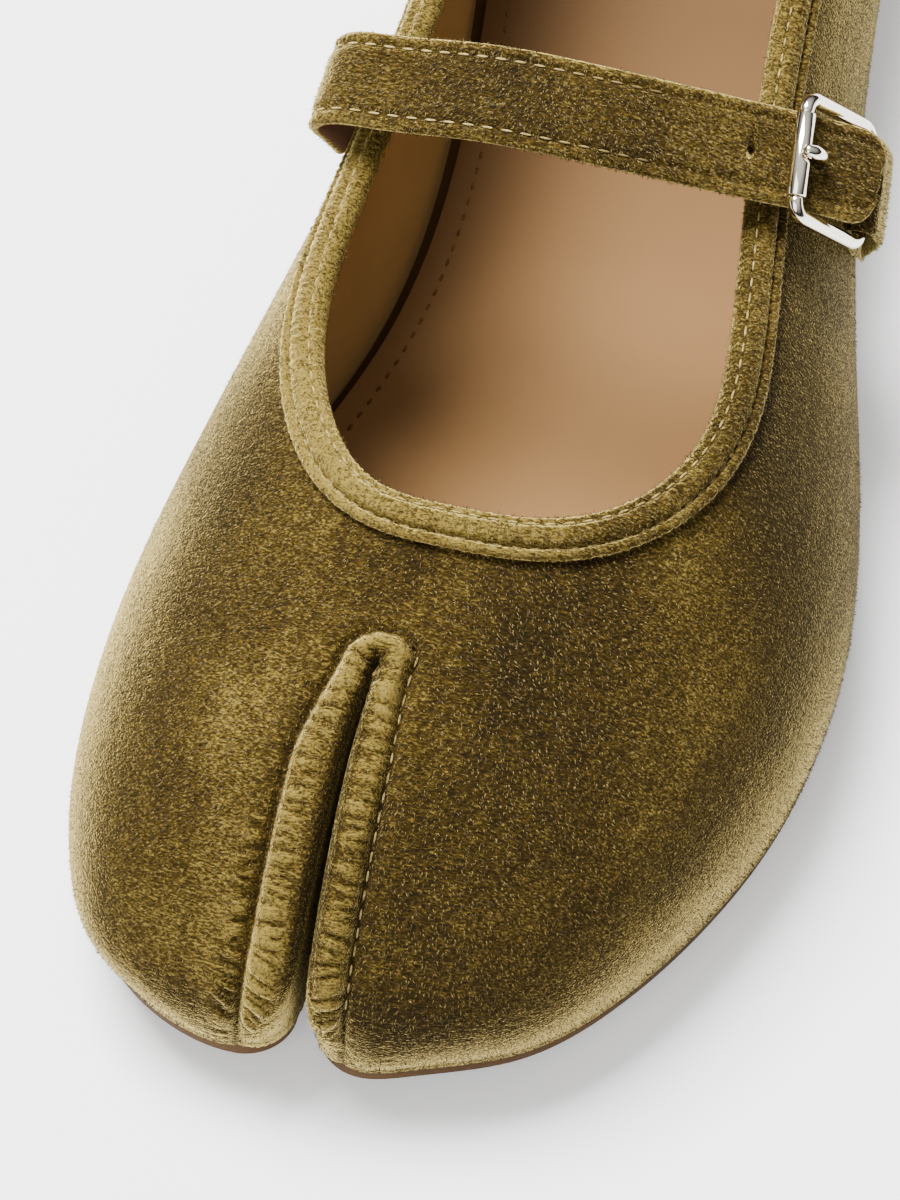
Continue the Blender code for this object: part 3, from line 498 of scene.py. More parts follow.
def velvet(name, shade=0.0):
    """Cotton velvet, cut pile about 0.5 mm high: dark when looked into, with a painted sheen that turns it pale where
    the pile is seen from the side.
    """
    made, tree, shader = surface(
        name,
        {
            "Roughness": 0.9,
            "Specular IOR Level": 0.08,
            "Sheen Weight": 0.14,
            "Sheen Roughness": 0.45,
            "Sheen Tint": linear("#c8ac58"),
        },
    )
    place = add(tree, "ShaderNodeTexCoord").outputs["Object"]
    # Brushed areas of the pile, about 20 by 40 mm
    sweep = add(tree, "ShaderNodeMapping", {"Rotation": (0.0, 0.0, -0.5), "Scale": (1.0, 0.5, 1.0)}, {"Vector": place})
    areas = {"Scale": 50.0, "Detail": 2.5, "Roughness": 0.5, "Distortion": 0.5}
    brushed = add(tree, "ShaderNodeTexNoise", areas, {"Vector": sweep})
    # Tufts lie over outwards, so their marks are longer across the shoe: about 0.6 by 0.25 mm, in clumps of 1 to 2 mm
    lay = add(tree, "ShaderNodeMapping", {"Rotation": (0.0, 0.0, 0.35), "Scale": (0.4, 1.0, 1.0)}, {"Vector": place})
    marks = {"Scale": 4200.0, "Detail": 1.5, "Roughness": 0.6, "Distortion": 0.5}
    tufts = add(tree, "ShaderNodeTexNoise", marks, {"Vector": lay})
    clumps = add(tree, "ShaderNodeTexNoise", {"Scale": 1100.0, "Detail": 2.0, "Roughness": 0.6}, {"Vector": lay})
    # Streaks left by a hand along the shoe, about 3 mm wide and 20 mm long
    stroke = add(tree, "ShaderNodeMapping", {"Rotation": (0.0, 0.0, 0.3), "Scale": (1.0, 0.14, 1.0)}, {"Vector": place})
    fingers = {"Scale": 380.0, "Detail": 2.0, "Roughness": 0.55, "Distortion": 0.6}
    streaks = add(tree, "ShaderNodeTexNoise", fingers, {"Vector": stroke})
    # The brushed attribute: brushed patches, and painted light and shade; it also sets how strong the painted sheen is
    patches_and_painted_light = add(tree, "ShaderNodeAttribute", {"attribute_name": "brushed"}).outputs["Fac"]
    # Level = 0.5 in the middle of each noise, moved by the piece's own shade and by its brushed attribute, which holds
    # brushed patches and painted light and shade
    parts = ((brushed, 0.8), (tufts, 1.35), (clumps, 0.4), (streaks, 0.17))
    start = 0.5 + shade - sum(weight for _, weight in parts) / 2
    level = add(tree, "ShaderNodeMath", {"operation": "ADD", 1: start}, {0: patches_and_painted_light})
    for noise, weight in parts:
        level = add(tree, "ShaderNodeMath", {"operation": "MULTIPLY_ADD", 1: weight}, {0: noise, 2: level})
    deep = ramp(tree, level, ((0.2, "#140d01"), (0.45, "#271c03"), (0.62, "#3a2d0b"), (0.9, "#705f2b")))
    bump = add(tree, "ShaderNodeBump", {"Strength": 0.7, "Distance": 0.25 * MM}, {"Height": tufts})
    lumps = {"Strength": 0.4, "Distance": 0.35 * MM}
    pile_normal = add(tree, "ShaderNodeBump", lumps, {"Height": clumps, "Normal": bump})
    # Painted sheen: the pale flanks of the pile show between the tufts where the surface turns away, painted into the
    # base colour
    turned = add(tree, "ShaderNodeLayerWeight", {"Blend": 0.5}, {"Normal": pile_normal}).outputs["Facing"]
    soft = {"interpolation_type": "SMOOTHSTEP", "From Min": 0.52}
    painted_sheen_rim = add(tree, "ShaderNodeMapRange", soft, {"Value": turned})
    tips = add(tree, "ShaderNodeMath", {"operation": "MULTIPLY_ADD", 1: 3.6, 2: -1.25}, {0: tufts})
    combed = add(tree, "ShaderNodeMath", {"operation": "MULTIPLY_ADD", 1: 0.6}, {0: streaks, 2: tips})
    by_patches_and_painted_light = {"operation": "MULTIPLY_ADD", "use_clamp": True, 1: 2.5}
    painted_sheen_strength = add(tree, "ShaderNodeMath", by_patches_and_painted_light, {0: patches_and_painted_light, 2: combed})
    painted_sheen_share = add(tree, "ShaderNodeMath", {"operation": "MULTIPLY"}, {0: painted_sheen_rim, 1: painted_sheen_strength})
    # The painted sheen's pale colour
    colour = add(tree, "ShaderNodeMix", {"data_type": "RGBA", 7: linear("#f4da86")}, {0: painted_sheen_share, 6: deep})
    tree.links.new(colour.outputs[2], shader.inputs["Base Color"])
    tree.links.new(pile_normal.outputs[0], shader.inputs["Normal"])
    return made


def fibres():
    """Single cotton fibres of the pile: dull, with painted highlights: some painted paler one by one, as where they
    catch the light.
    """
    made, tree, shader = surface("velvet pile fibres", {"Roughness": 0.7, "Specular IOR Level": 0.2})
    place = add(tree, "ShaderNodeTexCoord").outputs["Object"]
    each = add(tree, "ShaderNodeTexNoise", {"Scale": 2600.0, "Detail": 1.0}, {"Vector": place})
    colour = ramp(tree, each, ((0.34, "#211703"), (0.5, "#3c2f0e"), (0.68, "#6e5e31")))
    tree.links.new(colour, shader.inputs["Base Color"])
    return made


def shaded_along(tree, colour, place, axis, start, end, far_colour):
    """A colour that turns into another between two places along an axis."""
    along = add(tree, "ShaderNodeSeparateXYZ", links={0: place}).outputs[axis]
    share = add(tree, "ShaderNodeMapRange", {"From Min": start, "From Max": end}, {"Value": along})
    return add(tree, "ShaderNodeMix", {"data_type": "RGBA", 7: linear(far_colour)}, {0: share, 6: colour}).outputs[2]


def leather(name, stops, roughness, grain=0.06, painted_shade_to_heel=None):
    """Smooth leather: a slow change of tone and fine pores about 0.4 mm apart, with painted shade darker to the heel
    where asked.
    """
    made, tree, shader = surface(name, {"Roughness": roughness, "Specular IOR Level": 0.15})
    place = add(tree, "ShaderNodeTexCoord").outputs["Object"]
    tone = add(tree, "ShaderNodeTexNoise", {"Scale": 45.0, "Detail": 4.0, "Roughness": 0.6}, {"Vector": place})
    pores = add(tree, "ShaderNodeTexVoronoi", {"Scale": 2200.0}, {"Vector": place})
    colour = ramp(tree, tone, stops)
    if painted_shade_to_heel:
        colour = shaded_along(tree, colour, place, "Y", -70 * MM, 30 * MM, painted_shade_to_heel)
    tree.links.new(colour, shader.inputs["Base Color"])
    bump = add(tree, "ShaderNodeBump", {"Strength": 0.25, "Distance": grain * MM}, {"Height": pores})
    tree.links.new(bump.outputs[0], shader.inputs["Normal"])
    return made


def stacked_leather():
    """Heel lifts: layers of leather about 6 mm thick, pressed and waxed, with a darker glue line between them."""
    made, tree, shader = surface("stacked heel leather", {"Roughness": 0.6, "Specular IOR Level": 0.2})
    place = add(tree, "ShaderNodeTexCoord").outputs["Object"]
    layers = {"bands_direction": "Z", "Scale": 52.0, "Distortion": 0.4, "Detail": 2.0}
    lifts = add(tree, "ShaderNodeTexWave", layers, {"Vector": place}).outputs["Fac"]
    colour = ramp(tree, lifts, ((0.0, "#22130a"), (0.12, "#43290f"), (1.0, "#4f3213")))
    tree.links.new(colour, shader.inputs["Base Color"])
    return made


def thread(name, stops, buried=None):
    """Twisted polyester thread, its plies about 0.3 mm apart, sunk in the pile towards the buckle where asked."""
    made, tree, shader = surface(name, {"Roughness": 0.7, "Specular IOR Level": 0.2})
    place = add(tree, "ShaderNodeTexCoord").outputs["Object"]
    plies = add(tree, "ShaderNodeTexNoise", {"Scale": 3000.0, "Detail": 1.0}, {"Vector": place})
    colour = ramp(tree, plies, stops)
    if buried:
        colour = shaded_along(tree, colour, place, "X", -14 * MM, 12 * MM, buried)
    tree.links.new(colour, shader.inputs["Base Color"])
    return made


def nickel():
    """Nickel-plated die-cast zinc, polished: mirror bright, with the faintest haze of handling."""
    made, tree, shader = surface("polished nickel plate", {"Metallic": 1.0, "Base Color": linear("#e8dfd0")})
    place = add(tree, "ShaderNodeTexCoord").outputs["Object"]
    haze = add(tree, "ShaderNodeTexNoise", {"Scale": 400.0, "Detail": 3.0}, {"Vector": place})
    rough = add(tree, "ShaderNodeMapRange", {"To Min": 0.05, "To Max": 0.16}, {"Value": haze})
    tree.links.new(rough.outputs[0], shader.inputs["Roughness"])
    return made


def quads(column_count, row_count, wrap_columns=False, wrap_rows=False, flip=False):
    """Faces of a grid of columns, as index rows."""
    i = np.arange(column_count if wrap_columns else column_count - 1)
    j = np.arange(row_count if wrap_rows else row_count - 1)
    i, j = (axis.ravel() for axis in np.meshgrid(i, j, indexing="ij"))
    k, m = (i + 1) % column_count, (j + 1) % row_count
    faces = np.stack([i * row_count + j, k * row_count + j, k * row_count + m, i * row_count + m], axis=1)
    return faces[:, ::-1] if flip else faces


def merge(made):
    """Join points that lie on each other, and drop the faces and points that this leaves without use."""
    bmesh.ops.remove_doubles(made, verts=made.verts, dist=MERGE)
    bmesh.ops.dissolve_degenerate(made, edges=made.edges, dist=MERGE)
    bmesh.ops.delete(made, geom=[vert for vert in made.verts if not vert.link_faces], context="VERTS")


def mesh_object(name, made, *materials):
    mesh = bpy.data.meshes.new(name)
    made.to_mesh(mesh)
    made.free()
    mesh.shade_smooth()
    for finish in materials:
        mesh.materials.append(finish)
    part = bpy.data.objects.new(name, mesh)
    bpy.context.scene.collection.objects.link(part)
    return part


def grid_object(name, points, material, wrap_columns=False, wrap_rows=False, capped=False):
    """A smooth piece from a grid of points, its open ends closed where asked."""
    made = bmesh.new()
    verts = [made.verts.new(point) for point in np.reshape(points, (-1, 3))]
    for face in quads(*points.shape[:2], wrap_columns, wrap_rows):
        made.faces.new([verts[i] for i in face])
    if capped:
        row_count = points.shape[1]
        made.faces.new(verts[:row_count][::-1])
        made.faces.new(verts[-row_count:])
    merge(made)
    bmesh.ops.recalc_face_normals(made, faces=made.faces)
    return mesh_object(name, made, material)


def settle(part):
    """Apply a piece's modifiers, so that it is a plain mesh at the origin."""
    graph = bpy.context.evaluated_depsgraph_get()
    mesh = bpy.data.meshes.new_from_object(part.evaluated_get(graph), depsgraph=graph)
    part.modifiers.clear()
    part.data = mesh
    return part


def bevelled(part, width, segments=3):
    step = part.modifiers.new("eased edge", "BEVEL")
    step.width = width
    step.segments = segments
    step.limit_method = "ANGLE"
    step.angle_limit = EDGE_ANGLE
    return settle(part)


def worn_as(part, slot, *nodes):
    """The piece rides on the shoe and stands for its CAD nodes; its slot is not used."""
    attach(part, "root")
    if nodes:
        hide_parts(*nodes)
    return part


def split_lip(side):
    """The lip of the split on one toe, root to tip, in the part's frame."""
    outer, inner, normal = columns(side)
    toes = range(len(outer) - TOE_COLUMNS, len(outer))
    lip = [upper_column(side, outer[k], inner[k], normal[k], topline_share(side, outer[k, 1]))[-1] for k in toes]
    return to_frame(lip)


# Where the pile is brushed lighter or darker, and painted light and shade where the light falls: millimetres across and
# along, reach, and the change of shade
PilePatchWithPaintedLight = namedtuple("PilePatchWithPaintedLight", "across station reach shade")
PILE_PATCHES_WITH_PAINTED_LIGHT = (
    PilePatchWithPaintedLight(-28.0, 235.0, 8.0, 0.18),
    PilePatchWithPaintedLight(-30.0, 178.0, 13.0, -0.15),
    PilePatchWithPaintedLight(4.0, 222.0, 13.0, -0.06),
    PilePatchWithPaintedLight(12.0, 200.0, 14.0, -0.03),
    PilePatchWithPaintedLight(27.0, 196.0, 9.0, 0.04),
    PilePatchWithPaintedLight(-6.0, 196.0, 9.0, -0.08),
    PilePatchWithPaintedLight(24.0, 178.0, 8.0, 0.04),
    PilePatchWithPaintedLight(36.0, 160.0, 10.0, -0.05),
    PilePatchWithPaintedLight(8.0, 237.0, 11.0, -0.06),
)


def bell(away, reach, power=2):
    """1 in the middle, falling off to both sides within a reach."""
    return np.exp(-((away / reach) ** power))


def roll_width(side, along):
    return ROLL_ROOT_WIDTH + (ROLL_WIDTH[side] - ROLL_ROOT_WIDTH) * smooth_step(along / 14)


def roll_ribs(side, away, along):
    """Ribs pulled by the stitches, from -1 to 1: on the roll, just outside its groove and on the big toe's gathers."""
    past = away - roll_width(side, along)
    wander = along + 0.5 * np.sin(along * 0.9) + 0.3 * np.sin(along * 2.3 + 1) + 0.22 * away * np.sin(along * 0.7)
    ribs = np.sin(2 * np.pi * wander / ROLL_RIB_PITCH)
    on_roll = bell(past + 2.2, 1.7, 4)
    outside = 0.4 * bell(past - 1.2, 0.8)
    if side == MEDIAL:
        gathers = 0.8 * bell(past - GATHER_AWAY, 1.1)
        outside = outside + gathers * smooth_step((along - GATHER_START) / 10)
    return ribs * (on_roll + outside)


def pile_patches_and_painted_light(side, shoe, away, along):
    """Change of shade at each point of the pile: brushed patches with painted light and shade, painted sheen on the
    rolls, painted shade in the stitched groove, in the split and on the side walls, and painted light and shade on the
    ribs.
    """
    shade = np.zeros(len(shoe))
    for patch in PILE_PATCHES_WITH_PAINTED_LIGHT:
        gap = np.hypot(shoe[:, 0] / MM - patch.across, shoe[:, 1] / MM - patch.station)
        shade += patch.shade * bell(gap, patch.reach)
    width = roll_width(side, along)
    rolled = bell(away / width - 0.55, 0.4, 4)
    painted_groove_shade = bell(away - width, 0.6)
    painted_split_shade = bell(away, 0.9)
    behind = smooth_step((195 - shoe[:, 1] / MM) / 25)
    wall = smooth_step((np.abs(shoe[:, 0]) / MM - 22) / 12) * (0.5 * behind if side == MEDIAL else 0.3 + 1.1 * behind)
    # Painted sheen on the rolls; painted shade in the stitched groove, in the split and on the side walls; painted
    # light on the ribs with painted shade between them
    return shade + 0.24 * rolled - 0.2 * painted_groove_shade + 0.16 * roll_ribs(side, away, along) - 0.3 * painted_split_shade - 0.2 * wall


def roll_relief(side, away, along):
    """Height of a rolled edge by the distance from the split and along it: roll, stitched groove and ribs."""
    width = roll_width(side, along)
    share = np.clip(away / width, 0, 1)
    roll = ROLL_HEIGHT * np.clip(np.sin(np.pi * (0.05 + 0.95 * share)), 0, 1) ** 0.7
    groove = -ROLL_GROOVE * bell(away - width, 0.55)
    pillow = 0.35 * bell(away - width - 2.4, 1.5)
    return roll + groove + pillow + ROLL_RIB_HEIGHT * roll_ribs(side, away, along)


def nearest_on(line, points):
    """Distance of each point from a polyline, and how far along it the nearest place is."""
    run = run_along(line)
    best = np.full(len(points), np.inf)
    where = np.zeros(len(points))
    for a, b, start in zip(line[:-1], line[1:], run):
        span = b - a
        share = np.clip((points - a) @ span / max(span @ span, 1e-18), 0, 1)
        gap = np.linalg.norm(points - a - share[:, None] * span, axis=1)
        closer = gap < best
        best[closer] = gap[closer]
        where[closer] = start + share[closer] * np.linalg.norm(span)
    return best, where


def soften(verts, edges, share, passes):
    """Draw each point towards its neighbours' middle, by its own share, in several passes."""
    degree = np.maximum(np.bincount(edges.ravel(), minlength=len(verts)), 1)[:, None]
    for _ in range(passes):
        total = np.zeros_like(verts)
        np.add.at(total, edges[:, 0], verts[edges[:, 1]])
        np.add.at(total, edges[:, 1], verts[edges[:, 0]])
        verts = verts + 0.5 * share[:, None] * (total / degree - verts)
    return verts


# The big toe's front corner is padded a little fuller than the last, in millimetres
TOE_CORNER_ACROSS = -34.0
TOE_CORNER_STATION = 234.0
TOE_CORNER_REACH = 9.0
TOE_CORNER_FULLNESS = 1.4


def build_upper(pile, lining):
    """Both sides and the walls of the split in one velvet skin, with the lining a wall's thickness inside it."""
    made = bmesh.new()
    relief = made.verts.layers.float.new("relief")
    softness = made.verts.layers.float.new("softness")
    # The brushed layer holds brushed patches and painted light and shade
    brushed = made.verts.layers.float.new("brushed")
    hem_rows = LIP_ROWS + WALL_ROWS
    edge_row = hem_rows + SIDE_ROWS + TOP_ROWS + len(EDGE_ROWS) - 1
    down = np.array([0.0, 0.0, -1.0])
    last_collar = HEEL_COLUMNS + SIDE_COLUMNS + THROAT_COLUMNS - 1
    for side in (MEDIAL, LATERAL):
        outer, inner, normal = columns(side)
        first_toe = len(outer) - TOE_COLUMNS
        lip = split_lip(side)
        grid = []
        for k in range(len(outer)):
            top = topline_share(side, outer[k, 1])
            curve = upper_column(side, outer[k], inner[k], normal[k], top)
            rows = face_rows(curve, top, smooth_step((k - last_collar) / VAMP_COLUMNS))
            hem = rows[0] + drops(HEM_DEPTH)[::-1, None] * down
            deep = rows[-1, 2] - feather_height(outer[k, 1]) + HEM_DEPTH
            grid.append(to_frame(np.concatenate([hem, rows, rows[-1] + drops(deep)[:, None] * down])))
        grid = np.array(grid)
        flat = grid.reshape(-1, 3)
        shoe = from_frame(flat)
        lip_gap, along = nearest_on(lip, flat)
        below = np.zeros(grid.shape[:2])
        below[:, edge_row + 1 :] = grid[:, edge_row, None, 2] - grid[:, edge_row + 1 :, 2]
        forward = np.clip(shoe[:, 1], None, SHOE_LENGTH) - SPLIT_ROOT_STATION
        gap = np.where(forward > 0, split_half_gap(shoe[:, 1]), 0)
        away = np.clip(side * (shoe[:, 0] - centre_across(shoe[:, 1])) - gap, 0, None)
        away = np.hypot(away, 1.5 * np.clip(-forward, 0, None)) / MM
        along = (along + below.ravel()) / MM
        stand = (shoe[:, 2] - feather_height(shoe[:, 1])) / ROLL_FULL_HEIGHT
        heights = roll_relief(side, away, along) * (0.15 + 0.85 * smooth_step(stand))
        if side == MEDIAL:
            corner = np.hypot(shoe[:, 0] / MM - TOE_CORNER_ACROSS, shoe[:, 1] / MM - TOE_CORNER_STATION)
            heights += TOE_CORNER_FULLNESS * bell(corner, TOE_CORNER_REACH) * smooth_step(stand)
        shade = pile_patches_and_painted_light(side, shoe, away, along)
        soft = np.clip(1 - lip_gap / LIP_SOFT_REACH, 0, 1)
        verts = []
        for row in zip(flat, heights * MM, soft, shade):
            vert = made.verts.new(row[0])
            vert[relief], vert[softness], vert[brushed] = row[1:]
            verts.append(vert)
        for face in quads(*grid.shape[:2], flip=side == LATERAL):
            column, row = divmod(int(min(face)), grid.shape[1])
            if row < edge_row or column >= first_toe - 1:
                made.faces.new([verts[i] for i in face])
    merge(made)
    made.verts.index_update()
    places = np.array([vert.co for vert in made.verts])
    edges = np.array([[vert.index for vert in edge.verts] for edge in made.edges])
    places = soften(places, edges, np.array([vert[softness] for vert in made.verts]), LIP_SOFT_PASSES)
    for vert, place in zip(made.verts, places):
        vert.co = place
    made.normal_update()
    shifts = [vert.normal * vert[relief] for vert in made.verts]
    for vert, shift in zip(made.verts, shifts):
        vert.co += shift
    upper = mesh_object("velvet_upper", made, pile, lining)
    shell = upper.modifiers.new("wall", "SOLIDIFY")
    shell.thickness = UPPER_WALL
    shell.offset = -1
    shell.use_even_offset = False
    shell.material_offset = 1
    shell.material_offset_rim = 0
    return settle(upper)


def solid_below(name, finish, grids, lower, ease):
    """A solid from both sides' grids of top points, with a lower point for each of them, its edges eased."""
    made = bmesh.new()
    for side, grid in grids.items():
        verts = [made.verts.new(point) for point in grid.reshape(-1, 3)]
        for face in quads(*grid.shape[:2], flip=side == LATERAL):
            made.faces.new([verts[i] for i in face])
    merge(made)
    copied = bmesh.ops.extrude_face_region(made, geom=made.faces[:], use_keep_orig=True)["geom"]
    for vert in (item for item in copied if isinstance(item, bmesh.types.BMVert)):
        vert.co = lower(vert.co)
    bmesh.ops.recalc_face_normals(made, faces=made.faces)
    return bevelled(mesh_object(name, made, finish), ease)


def build_plate(name, finish, inset, split_inset, top, bottom, ease):
    """A sole layer: both sides in plan at the top height, down to the bottom height."""
    share = np.linspace(0, 1, 9)[:, None]
    grids = {}
    for side in (MEDIAL, LATERAL):
        outer, inner, _ = columns(side, inset, split_inset)
        plan = outer[:, None] + share * (inner - outer)[:, None]
        grids[side] = to_frame(np.concatenate([plan, top(plan[..., 1])[..., None]], axis=-1))

    def lower(point):
        return point.x, point.y, bottom(FRAME_STATION - point.y)

    return solid_below(name, finish, grids, lower, ease)


def build_heel(finish):
    """A low block under the seat, with a hollow breast and a slight taper to the floor."""
    top = HEEL_HEIGHT - SEAT_GAP
    reach = HEEL_BREAST_STATION - HEEL_FAN_STATION
    share = np.linspace(0, 1, 7)[:, None]
    shares = np.concatenate([share, np.sin(share * np.pi / 2)], axis=1)
    middle = Vector(to_frame([0.0, HEEL_FAN_STATION, 0.0])[:2])
    grids = {}
    for side in (MEDIAL, LATERAL):
        outline = feather_outline(side, HEEL_INSET)
        fan = np.interp(HEEL_FAN_STATION, outline[:, 1], np.arange(len(outline)))
        forward = np.linspace(HEEL_FAN_STATION, HEEL_BREAST_STATION, 13)[1:]
        round_back = at_position(np.linspace(0, fan, HEEL_COLUMNS), np.arange(len(outline)), outline)
        outer = np.concatenate([round_back, at_position(forward, outline[:, 1], outline)])
        past = np.clip((outer[:, 1] - HEEL_FAN_STATION) / reach, 0, 1)
        inner = np.stack([0 * past, HEEL_FAN_STATION + past * (reach - HEEL_BREAST_HOLLOW)], axis=1)
        plan = outer[:, None] + shares * (inner - outer)[:, None]
        grids[side] = to_frame(np.concatenate([plan, np.full((*plan.shape[:2], 1), top)], axis=-1))

    def lower(point):
        return *(point.xy + (1 - HEEL_TAPER) * (middle - point.xy)), 0.0

    return solid_below("leather_heel", finish, grids, lower, SOLE_EASE)


def collar_edge():
    """The collar edge as a closed loop, and at each point the ways down the upper's face and out of it."""
    loop, out = [], []
    for side in (MEDIAL, LATERAL):
        outline = feather_outline(side)
        shares = column_shares(outline)[: HEEL_COLUMNS + SIDE_COLUMNS + THROAT_COLUMNS]
        for share in shares if side == MEDIAL else shares[-2:0:-1]:
            top = topline_share(side, np.interp(share, np.linspace(0, 1, len(outline)), outline[:, 1]))
            here = to_frame(column_at(side, share))
            behind = to_frame(column_at(side, max(share - SLOPE_STEP, 0), top)[-1])
            ahead = to_frame(column_at(side, share + SLOPE_STEP, top)[-1])
            loop.append(here[-1])
            out.append(unit(-side * np.cross(ahead - behind, here[-1] - here[-2])))
    loop = np.array(loop)
    out = np.array(out)
    run = run_along(np.concatenate([loop, loop[:1]]))
    even = np.linspace(0, run[-1], COLLAR_POINTS + 1)[:-1]
    loop, out = (at_position(even, run, np.concatenate([rows, rows[:1]])) for rows in (loop, out))
    tangent = unit(np.roll(loop, -1, axis=0) - np.roll(loop, 1, axis=0))
    out = square_to(out, tangent)
    return loop, np.cross(tangent, out), out


def paint_light_and_shade(part, shade):
    """Store a piece's painted light and shade at each of its points, in its brushed attribute."""
    brushed = part.data.attributes.new("brushed", "FLOAT", "POINT")
    for vert, value in zip(part.data.vertices, brushed.data):
        value.value = shade(vert.co)


# The binding's section, in millimetres down from the collar edge and out from the upper's face:
# the outer cord, a stitched groove, a band, a second stitched groove and the roll over the edge
BindingPoint = namedtuple("BindingPoint", "down out")
BINDING_SECTION = (
    BindingPoint(3.75, 0.05),
    BindingPoint(4.0, 0.6),
    BindingPoint(3.75, 1.15),
    BindingPoint(3.25, 1.35),
    BindingPoint(2.8, 1.1),
    BindingPoint(2.55, 0.45),
    BindingPoint(2.25, 1.15),
    BindingPoint(1.6, 1.55),
    BindingPoint(0.7, 1.6),
    BindingPoint(0.05, 1.3),
    BindingPoint(-0.3, 0.65),
    BindingPoint(-0.75, 0.75),
    BindingPoint(-1.15, 0.1),
    BindingPoint(-1.2, -0.9),
    BindingPoint(-0.75, -1.75),
    BindingPoint(0.1, -2.2),
    BindingPoint(1.1, -2.25),
    BindingPoint(1.9, -2.05),
    BindingPoint(1.85, -1.55),
    BindingPoint(-0.25, -1.5),
    BindingPoint(-0.25, 0.05),
)
BINDING_STITCHES = (BindingPoint(2.55, 0.62), BindingPoint(-0.35, 0.75))
BINDING_RIB_HEIGHT = 0.06 * MM


def build_binding(pile):
    """The folded strip on the collar edge, its outer lip ridged by two stitched grooves."""
    loop, down, out = collar_edge()
    section = np.array(BINDING_SECTION) * MM
    closed = np.concatenate([section[-1:], section, section[:2]])
    run = run_along(closed)
    fine = natural_spline(run, closed, np.linspace(run[1], run[-2], BINDING_POINTS + 1)[:-1])
    middle = fine.mean(axis=0)
    swell = unit(fine - middle)
    turn = np.arange(len(loop))[:, None] * 2 * np.pi / len(loop)
    place = np.linspace(0, 2 * np.pi, len(fine), endpoint=False)
    # Ribs across the rolls, uneven along the collar and from one roll to the next
    ribs = np.sin(467 * turn + 5 * np.sin(23 * turn) + 3 * np.sin(3 * place))
    ribs = ribs + 0.7 * np.sin(331 * turn + 6 * np.sin(31 * turn + 2 * place))
    visible = np.clip(fine[:, 1] / MM + 1.6, 0, 1)
    fine = fine + (BINDING_RIB_HEIGHT * ribs * visible)[..., None] * swell
    rings = loop[:, None] + fine[..., :1] * down[:, None] + fine[..., 1:] * out[:, None]
    binding = grid_object("velvet_binding", rings, pile, wrap_columns=True, wrap_rows=True)
    # Painted light and shade: the binding is lighter at the throat and darker along the outer side
    paint_light_and_shade(binding, lambda point: 0.1 - 0.26 * smooth_step((point.x / MM - 10) / 14))
    return binding


def strap_line(count=400, tip_count=16):
    """The strap's middle line, the way along it, the way across it towards the toe, and the way out of it."""
    route = np.array(STRAP_ROUTE, float)
    along = run_along(route[:, :3])
    tip_start = along[-1] - STRAP_TIP_LENGTH / MM
    tip_turn = np.sin(np.linspace(0, np.pi / 2, tip_count + 1))[1:]
    at = np.concatenate([np.linspace(0, tip_start, count), tip_start + (along[-1] - tip_start) * tip_turn])
    run = natural_spline(along, route, at)
    line = to_frame(run[:, :3] * MM)
    ahead = unit(np.gradient(line, axis=0))
    lean, splay = np.radians(run[:, 3:]).T
    beside = square_to(np.stack([-np.sin(splay), -np.cos(lean), -np.sin(lean)], axis=1), ahead)
    return line, ahead, beside, np.cross(beside, ahead)


def strap_at(across):
    """The strap's own frame where its middle line passes a position across the shoe."""
    line, ahead, beside, _ = strap_line()
    over = slice(int(np.argmin(line[:, 0])), None)
    at = across - FRAME_ACROSS
    point, ahead, beside = (at_position(at, line[over, 0], rows[over]) for rows in (line, ahead, beside))
    ahead = unit(ahead)
    beside = square_to(beside, ahead)
    return point, ahead, beside, np.cross(beside, ahead)


def buckle_axes():
    """The roller bar's and the far bar's middles, then the ways from one to the other, across and out."""
    point, ahead, beside, out = strap_at(ROLLER_ACROSS)
    near = point + (STRAP_THICKNESS / 2 + SEAT_GAP + ROLLER_RADIUS) * out
    dive = np.radians(FRAME_DIVE)
    reach = np.cos(dive) * ahead - np.sin(dive) * out
    return near, near + FRAME_REACH * reach, reach, beside, np.cross(beside, reach)


def prong_path(extra=0.0):
    """The prong's line and radii: a loop round the far bar, then the route to the roller."""
    near, _, reach, beside, out = buckle_axes()
    loop = WIRE_RADIUS + SEAT_GAP + PRONG_LOOP_RADIUS
    turn = np.radians(np.linspace(-150, 90, 25))
    route = np.array(PRONG_ROUTE) * MM
    run = run_along(route[:, :2])
    route = natural_spline(run, route, np.linspace(0, run[-1], 50))
    along = np.concatenate([FRAME_REACH + loop * np.cos(turn), route[:, 0]])
    up = np.concatenate([loop * np.sin(turn), route[:, 1]])
    radii = np.concatenate([np.full(len(turn), PRONG_LOOP_RADIUS), route[:, 2]]) + extra
    return near + along[:, None] * reach + up[:, None] * out, radii, beside


def tube_rings(path, radii, axis, closed, steps=20):
    """Round rings along a flat path whose plane stands square to the axis."""
    if closed:
        tangent = unit(np.roll(path, -1, axis=0) - np.roll(path, 1, axis=0))
    else:
        tangent = unit(np.gradient(path, axis=0))
    beside = np.cross(axis, tangent)
    turn = np.arange(steps) * 2 * np.pi / steps
    circle = np.cos(turn)[:, None] * beside[:, None] + np.sin(turn)[:, None] * axis
    return path[:, None] + np.asarray(radii)[:, None, None] * circle


def cut(target, cutter):
    step = target.modifiers.new("cut", "BOOLEAN")
    step.operation = "DIFFERENCE"
    step.solver = "EXACT"
    step.object = cutter
    settle(target)
    bpy.data.objects.remove(cutter)


# The strap's stitch rows lie in grooves as deep as they are wide to one side
STRAP_STITCH_INSET = 1.7 * MM
STRAP_GROOVE = 0.45 * MM
STRAP_PUCKER = 0.06 * MM
SPARE_HOLE_DENT = 0.4 * MM
SPARE_HOLE_DENT_REACH = 1.3 * MM


def strap_half_widths(line):
    """Half the strap's width along its line, closing round its tip."""
    run = run_along(line)
    short = np.clip(1 - (run[-1] - run) / STRAP_TIP_LENGTH, 0, 0.995)
    return STRAP_WIDTH / 2 - (1 - np.sqrt(1 - short**2)) * STRAP_TIP_LENGTH


